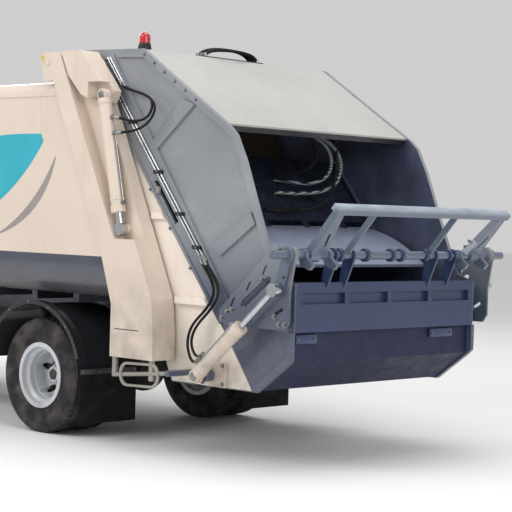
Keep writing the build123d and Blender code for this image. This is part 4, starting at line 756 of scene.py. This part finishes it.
# Cylinder glands, ports with their blocks, and the thin pipe that runs along each barrel to its mouth
cylinders = [
    {"name": "lift", "body": "lift_barrels", "x": 1.085, "base": (0.735, 2.330), "eye": (0.938, 1.450),
     "radius": 0.044, "mouth": 0.790, "ports": (0.164, 0.272)},
    {"name": "lifter", "body": "lifter_barrels", "x": 1.062, "base": (1.660, 0.550), "eye": (2.305, 1.122),
     "radius": 0.042, "mouth": 0.500, "ports": (0.094, 0.139)},
]
for row in cylinders:
    mesh, zinc, bright = bmesh.new(), bmesh.new(), bmesh.new()
    run = Vector((0, row["eye"][0] - row["base"][0], row["eye"][1] - row["base"][1])).normalized()
    off = Vector((0, -run.z, run.y))  # square to the barrel, on the side where its ports are
    radius, mouth = row["radius"], row["mouth"]
    portOut, pipeOut, endPort = radius + 0.026, radius + 0.015, mouth - 0.052
    ring = [(radius + 0.0002, -0.006), (radius + 0.004, -0.006), (radius + 0.004, 0.006), (radius + 0.0002, 0.006)]
    gland = [(radius - 0.002, -0.034), (radius + 0.0035, -0.034), (radius + 0.0035, -0.004), (radius - 0.004, 0.0)]
    cap = [(0.0, 0.006), (0.014, 0.006), (0.026, 0.003), (0.030, -0.004)]
    for flip in (1, -1):
        base = Vector(side(flip, row["x"], *row["base"]))
        for d in (*row["ports"], endPort):
            start = base + run * d
            addRod(zinc, start + off * (radius - 0.004), start + off * portOut, 0.0155, 6)
            addRod(bright, start + off * (portOut - 0.002), start + off * (portOut + 0.006), 0.010, 14)
        pipeStart = base + run * row["ports"][1]
        addRod(bright, pipeStart + off * pipeOut, base + run * endPort + off * pipeOut, 0.0058, 14)
        addSpin(mesh, ring, base + run * 0.055, run, 36)
        addSpin(mesh, ring, base + run * (mouth - 0.085), run, 36)
        addSpin(mesh, gland, base + run * mouth, run, 36)
        addSpin(zinc, cap, base + Vector((flip * 0.029, 0, 0)), (flip, 0, 0), 28)
    newPiece(row["name"] + "BarrelBands", mesh, "beige", row["body"])
    newPiece(row["name"] + "BarrelPorts", zinc, "zinc", row["body"])
    newPiece(row["name"] + "BarrelPipes", bright, "pipe", row["body"])
print("lifter and cylinder details made")


# Hoses: each is one smooth line through listed points; one that joins two bodies is baked in place and attached to
# neither
def addHose(name, route, radius, look, bodies):
    data = bpy.data.curves.new(name + "Line", "CURVE")
    data.dimensions = "3D"
    spline = data.splines.new("NURBS")
    spline.points.add(len(route) - 1)
    for point, place in zip(spline.points, route):
        point.co = (*place, 1)
    spline.order_u = 3
    spline.use_endpoint_u = True
    spline.resolution_u = 12
    line = bpy.data.objects.new(name + "Line", data)
    centre = [v.co.copy() for v in bpy.data.meshes.new_from_object(line).vertices]
    data.bevel_depth = radius
    data.bevel_resolution = 5
    mesh = bpy.data.meshes.new_from_object(line)
    bpy.data.objects.remove(line)
    mesh.materials.clear()
    mesh.materials.append(material[look])
    mesh.shade_smooth()
    piece = bpy.data.objects.new(name, mesh)
    scene.collection.objects.link(piece)
    if bodies[0] == bodies[1]:
        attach(piece, bodies[0])
    else:
        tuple(centre[0])
        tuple(centre[-1])
        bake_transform(piece)
    length = sum((b - a).length for a, b in zip(centre, centre[1:]))
    print(name, "length", round(length, 3))
    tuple(centre[0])


# Routes as (x, y, z) on the left side, from the tailgate's pipes to a cylinder's ports
hoses = [
    {"name": "liftHoseUpper", "radius": 0.0085, "look": "hose", "end": "lift_barrels", "route": [
        (0.922, 0.700, 2.437), (0.926, 0.735, 2.405), (0.945, 0.810, 2.380), (0.962, 0.930, 2.352),
        (0.976, 1.030, 2.328), (0.986, 1.091, 2.300), (0.997, 1.115, 2.242), (1.010, 1.090, 2.184),
        (1.024, 1.030, 2.158), (1.045, 0.955, 2.158), (1.072, 0.888, 2.176), (1.085, 0.836, 2.184)]},
    {"name": "liftHoseLower", "radius": 0.0085, "look": "hose", "end": "lift_barrels", "route": [
        (0.922, 0.742, 2.417), (0.928, 0.778, 2.388), (0.950, 0.860, 2.368), (0.970, 1.000, 2.338),
        (0.990, 1.130, 2.278), (1.000, 1.140, 2.205), (1.020, 1.085, 2.130), (1.045, 1.000, 2.092),
        (1.072, 0.915, 2.082), (1.085, 0.860, 2.079)]},
    {"name": "lifterHoseFront", "radius": 0.0090, "look": "hose", "end": "lifter_barrels", "route": [
        (0.920, 1.515, 1.280), (0.922, 1.560, 1.225), (0.930, 1.640, 1.150), (0.950, 1.690, 1.060),
        (0.970, 1.640, 0.965), (0.995, 1.540, 0.865), (1.010, 1.512, 0.760), (1.018, 1.545, 0.665),
        (1.038, 1.612, 0.622), (1.062, 1.680, 0.657)]},
    {"name": "lifterHoseRear", "radius": 0.0090, "look": "hose", "end": "lifter_barrels", "route": [
        (0.920, 1.550, 1.278), (0.922, 1.592, 1.225), (0.930, 1.680, 1.150), (0.950, 1.730, 1.060),
        (0.970, 1.680, 0.965), (0.995, 1.585, 0.865), (1.010, 1.548, 0.775), (1.018, 1.575, 0.700),
        (1.038, 1.642, 0.662), (1.062, 1.712, 0.690)]},
]
for row in hoses:
    for flip, word in ((1, "Left"), (-1, "Right")):
        route = [side(flip, *point) for point in row["route"]]
        addHose(row["name"] + word, route, row["radius"], row["look"], ("tailgate", row["end"]))

# Hoses under the hood: from the header panel to the packer slide
hoodHoses = [
    {"name": "hoodHoseOuter", "radius": 0.013, "look": "spiral", "route": [
        (-0.190, 1.446, 2.135), (-0.205, 1.478, 2.122), (-0.330, 1.482, 2.085), (-0.450, 1.478, 2.000),
        (-0.482, 1.468, 1.890), (-0.440, 1.452, 1.788), (-0.330, 1.418, 1.738), (-0.201, 1.345, 1.724),
        (-0.111, 1.285, 1.724), (-0.040, 1.242, 1.726)]},
    {"name": "hoodHoseMiddle", "radius": 0.012, "look": "spiral", "route": [
        (-0.140, 1.446, 2.135), (-0.155, 1.476, 2.122), (-0.270, 1.480, 2.080), (-0.360, 1.475, 2.000),
        (-0.382, 1.462, 1.905), (-0.345, 1.440, 1.830), (-0.262, 1.380, 1.792), (-0.206, 1.300, 1.796),
        (-0.158, 1.225, 1.810), (-0.110, 1.170, 1.816)]},
    {"name": "hoodHoseInner", "radius": 0.0105, "look": "hose", "route": [
        (-0.095, 1.446, 2.135), (-0.110, 1.474, 2.122), (-0.185, 1.476, 2.078), (-0.232, 1.466, 1.985),
        (-0.215, 1.430, 1.908), (-0.180, 1.345, 1.868), (-0.145, 1.245, 1.860), (-0.100, 1.142, 1.858)]},
    {"name": "hoodHoseLow", "radius": 0.011, "look": "hose", "route": [
        (-0.395, 1.446, 2.135), (-0.398, 1.474, 2.100), (-0.405, 1.490, 1.980), (-0.400, 1.488, 1.850),
        (-0.372, 1.476, 1.720), (-0.260, 1.455, 1.632), (-0.070, 1.412, 1.606), (0.080, 1.362, 1.604),
        (0.150, 1.338, 1.607)]},
]
for row in hoodHoses:
    route = [side(1, *point) for point in row["route"]]
    addHose(row["name"], route, row["radius"], row["look"], ("tailgate", "packer"))

# Hoses looped over the top of the tailgate, each a little flatter than the one before it
roofRows = [(0.800 + 0.036 * i, 0.006 * i) for i in range(3)]
for i, (y, drop) in enumerate(roofRows):
    points = [(0.300, 0, 2.662), (0.262, 0, 2.690), (0.170, 0.010, 2.716 - drop), (0.040, 0.014, 2.722 - drop),
              (-0.090, 0.010, 2.716 - drop), (-0.180, 0, 2.690), (-0.215, 0, 2.660)]
    route = [side(1, x, y + aside, z) for x, aside, z in points]
    addHose("roofHose" + str(i), route, 0.011, "hose", ("tailgate", "tailgate"))

# Crimped ends of the hoses, and the tray that the roof hoses come out of
mesh, dark = bmesh.new(), bmesh.new()
for row in hoses:
    for flip in (1, -1):
        points = [Vector(side(flip, *point)) for point in row["route"]]
        for end, near in ((points[0], points[1]), (points[-1], points[-2])):
            run = (near - end).normalized()
            addRod(mesh, end - run * 0.012, end + run * 0.050, row["radius"] + 0.0035, 16)
            addRod(mesh, end - run * 0.016, end + run * 0.004, row["radius"] + 0.006, 6)
for row in hoodHoses:
    points = [Vector(side(1, *point)) for point in row["route"]]
    run = (points[1] - points[0]).normalized()
    addRod(mesh, points[0] - run * 0.002, points[0] + run * 0.034, row["radius"] + 0.005, 6)
for y, drop in roofRows:
    for x in (0.300, -0.215):
        addRod(mesh, side(1, x, y, 2.642), side(1, x, y, 2.676), 0.0145, 6)
addBox(dark, (-0.26, 0.775 + axleY, 2.640), (0.345, 0.895 + axleY, 2.652), 0.003)
newPiece("hoseEnds", mesh, "zinc", "tailgate")
newPiece("roofHoseTray", dark, "chassis", "tailgate")

# Second pair of rigid pipes at the beam's top, the ones that the lift cylinder's hoses come from
mesh = bmesh.new()
for flip in (1, -1):
    for offset, foot in ((0.236, 2.440), (0.262, 2.420)):
        start, end = (side(flip, 0.922, beamY(z) + offset, z) for z in (2.60, foot))
        addRod(mesh, start, end, 0.0065, 14)
newPiece("upperPipes", mesh, "pipe", "tailgate")
print("hoses made")

# Lug bases under the lifter cylinders, a thin black strip painted as the shadow in the gap between the post and its
# foot, and a small lamp on the beam
lugFace = 0.940
mesh, shade, dark, clear = bmesh.new(), bmesh.new(), bmesh.new(), bmesh.new()
for flip in (1, -1):
    addSideBox(mesh, flip, (0.905, lugFace), (1.575, 1.790), (0.480, 0.640), 0.006)
    for y, z in ((1.595, 0.500), (1.595, 0.620), (1.770, 0.500), (1.770, 0.620)):
        addBolt(dark, side(flip, lugFace, y, z), (flip, 0, 0), 0.016, 0.010, 0.014)
    # Painted shadow: a thin near-black sheet on the post's face where the post meets its foot.
    addSideBox(shade, flip, (postSide - 0.001, postSide + 0.0012), (0.946, 1.176), (0.798, 0.803))
    addSideBox(clear, flip, (0.912, 0.936), (1.098, 1.128), (1.690, 1.735), 0.004)
newPiece("lugBases", mesh, "beige", "tailgate")
newPiece("lugBolts", dark, "zinc", "tailgate")
newPiece("postShadowStrips", shade, "shade", "chassis")
newPiece("beamLamps", clear, "latch", "tailgate")

# Grease marks around the tailgate's upper pivots
mesh = bmesh.new()
for flip in (1, -1):
    for y, z, r in ((0.128, 2.600, 0.017), (0.150, 2.572, 0.010), (0.112, 2.630, 0.008)):
        addRod(mesh, side(flip, postSide, y, z), side(flip, postSide + 0.0012, y, z), r, 14)
newPiece("pivotGrease", mesh, "yellow", "chassis")

# Small plates under the sill, where lamps would bolt on
lampBack = 2.312 + axleY
mesh, zinc = bmesh.new(), bmesh.new()
for low, high in ((0.67, 0.86), (-0.70, -0.46)):
    addBox(mesh, (low, lampBack - 0.020, 0.790), (high, lampBack, 0.846), 0.004)
    for x in (low + 0.02, high - 0.02):
        addBolt(zinc, (x, lampBack, 0.818), (0, 1, 0), 0.010, 0.005, 0.009)
newPiece("lampPlates", mesh, "sill", "tailgate")
newPiece("lampPlateBolts", zinc, "zinc", "tailgate")

# Cab: handles, wipers, indicators, roof markers and lamp bowls
mesh, amber, chrome = bmesh.new(), bmesh.new(), bmesh.new()
doorSkin, handleZ = 0.950, 1.358
for flip, word, body in ((1, "Left", "door_left_panel"), (-1, "Right", "door_right_panel")):
    handle = bmesh.new()
    addSideBox(handle, flip, (doorSkin, 0.956), (-3.330, -3.215), (1.330, 1.385), 0.003)
    addRod(handle, side(flip, 0.975, -3.325, handleZ), side(flip, 0.975, -3.225, handleZ), 0.009, 16)
    addRod(handle, side(flip, doorSkin, -3.322, handleZ), side(flip, 0.976, -3.322, handleZ), 0.007, 12)
    newPiece("doorHandle" + word, handle, "black", body)
for x in (-0.15, 0.55):
    foot, tip = (x, -4.405 + axleY, 1.418), (x - 0.42, -4.246 + axleY, 1.80)
    addRod(mesh, foot, tip, 0.006, 10)
    addRod(mesh, (x - 0.30, -4.331 + axleY, 1.52), (x - 0.44, -4.180 + axleY, 2.00), 0.008, 10)
for x in (-0.55, -0.28, 0.0, 0.28, 0.55):
    dome = bmesh.ops.create_uvsphere(amber, u_segments=20, v_segments=12, radius=0.045)
    bmesh.ops.scale(amber, vec=(1.2, 0.7, 0.6), verts=dome["verts"])
    bmesh.ops.translate(amber, vec=(x, -3.93 + axleY, 2.270), verts=dome["verts"])
bowl = [(0.0, -0.002), (0.020, 0.0), (0.036, 0.004), (0.041, 0.010), (0.045, 0.010), (0.046, 0.0)]
for flip in (1, -1):
    addSideBox(amber, flip, (0.640, 0.745), (cabFront, cabFront + 0.0212), (0.925, 0.952), 0.004)
    for x in (0.650, 0.742):
        addSpin(chrome, bowl, side(flip, x, cabFront, 1.028), (0, -1, 0), 32)
newPiece("wipers", mesh, "black", "cab")
newPiece("cabIndicators", amber, "amber", "cab")
newPiece("lampBowls", chrome, "chrome", "cab")
print("cab details made")
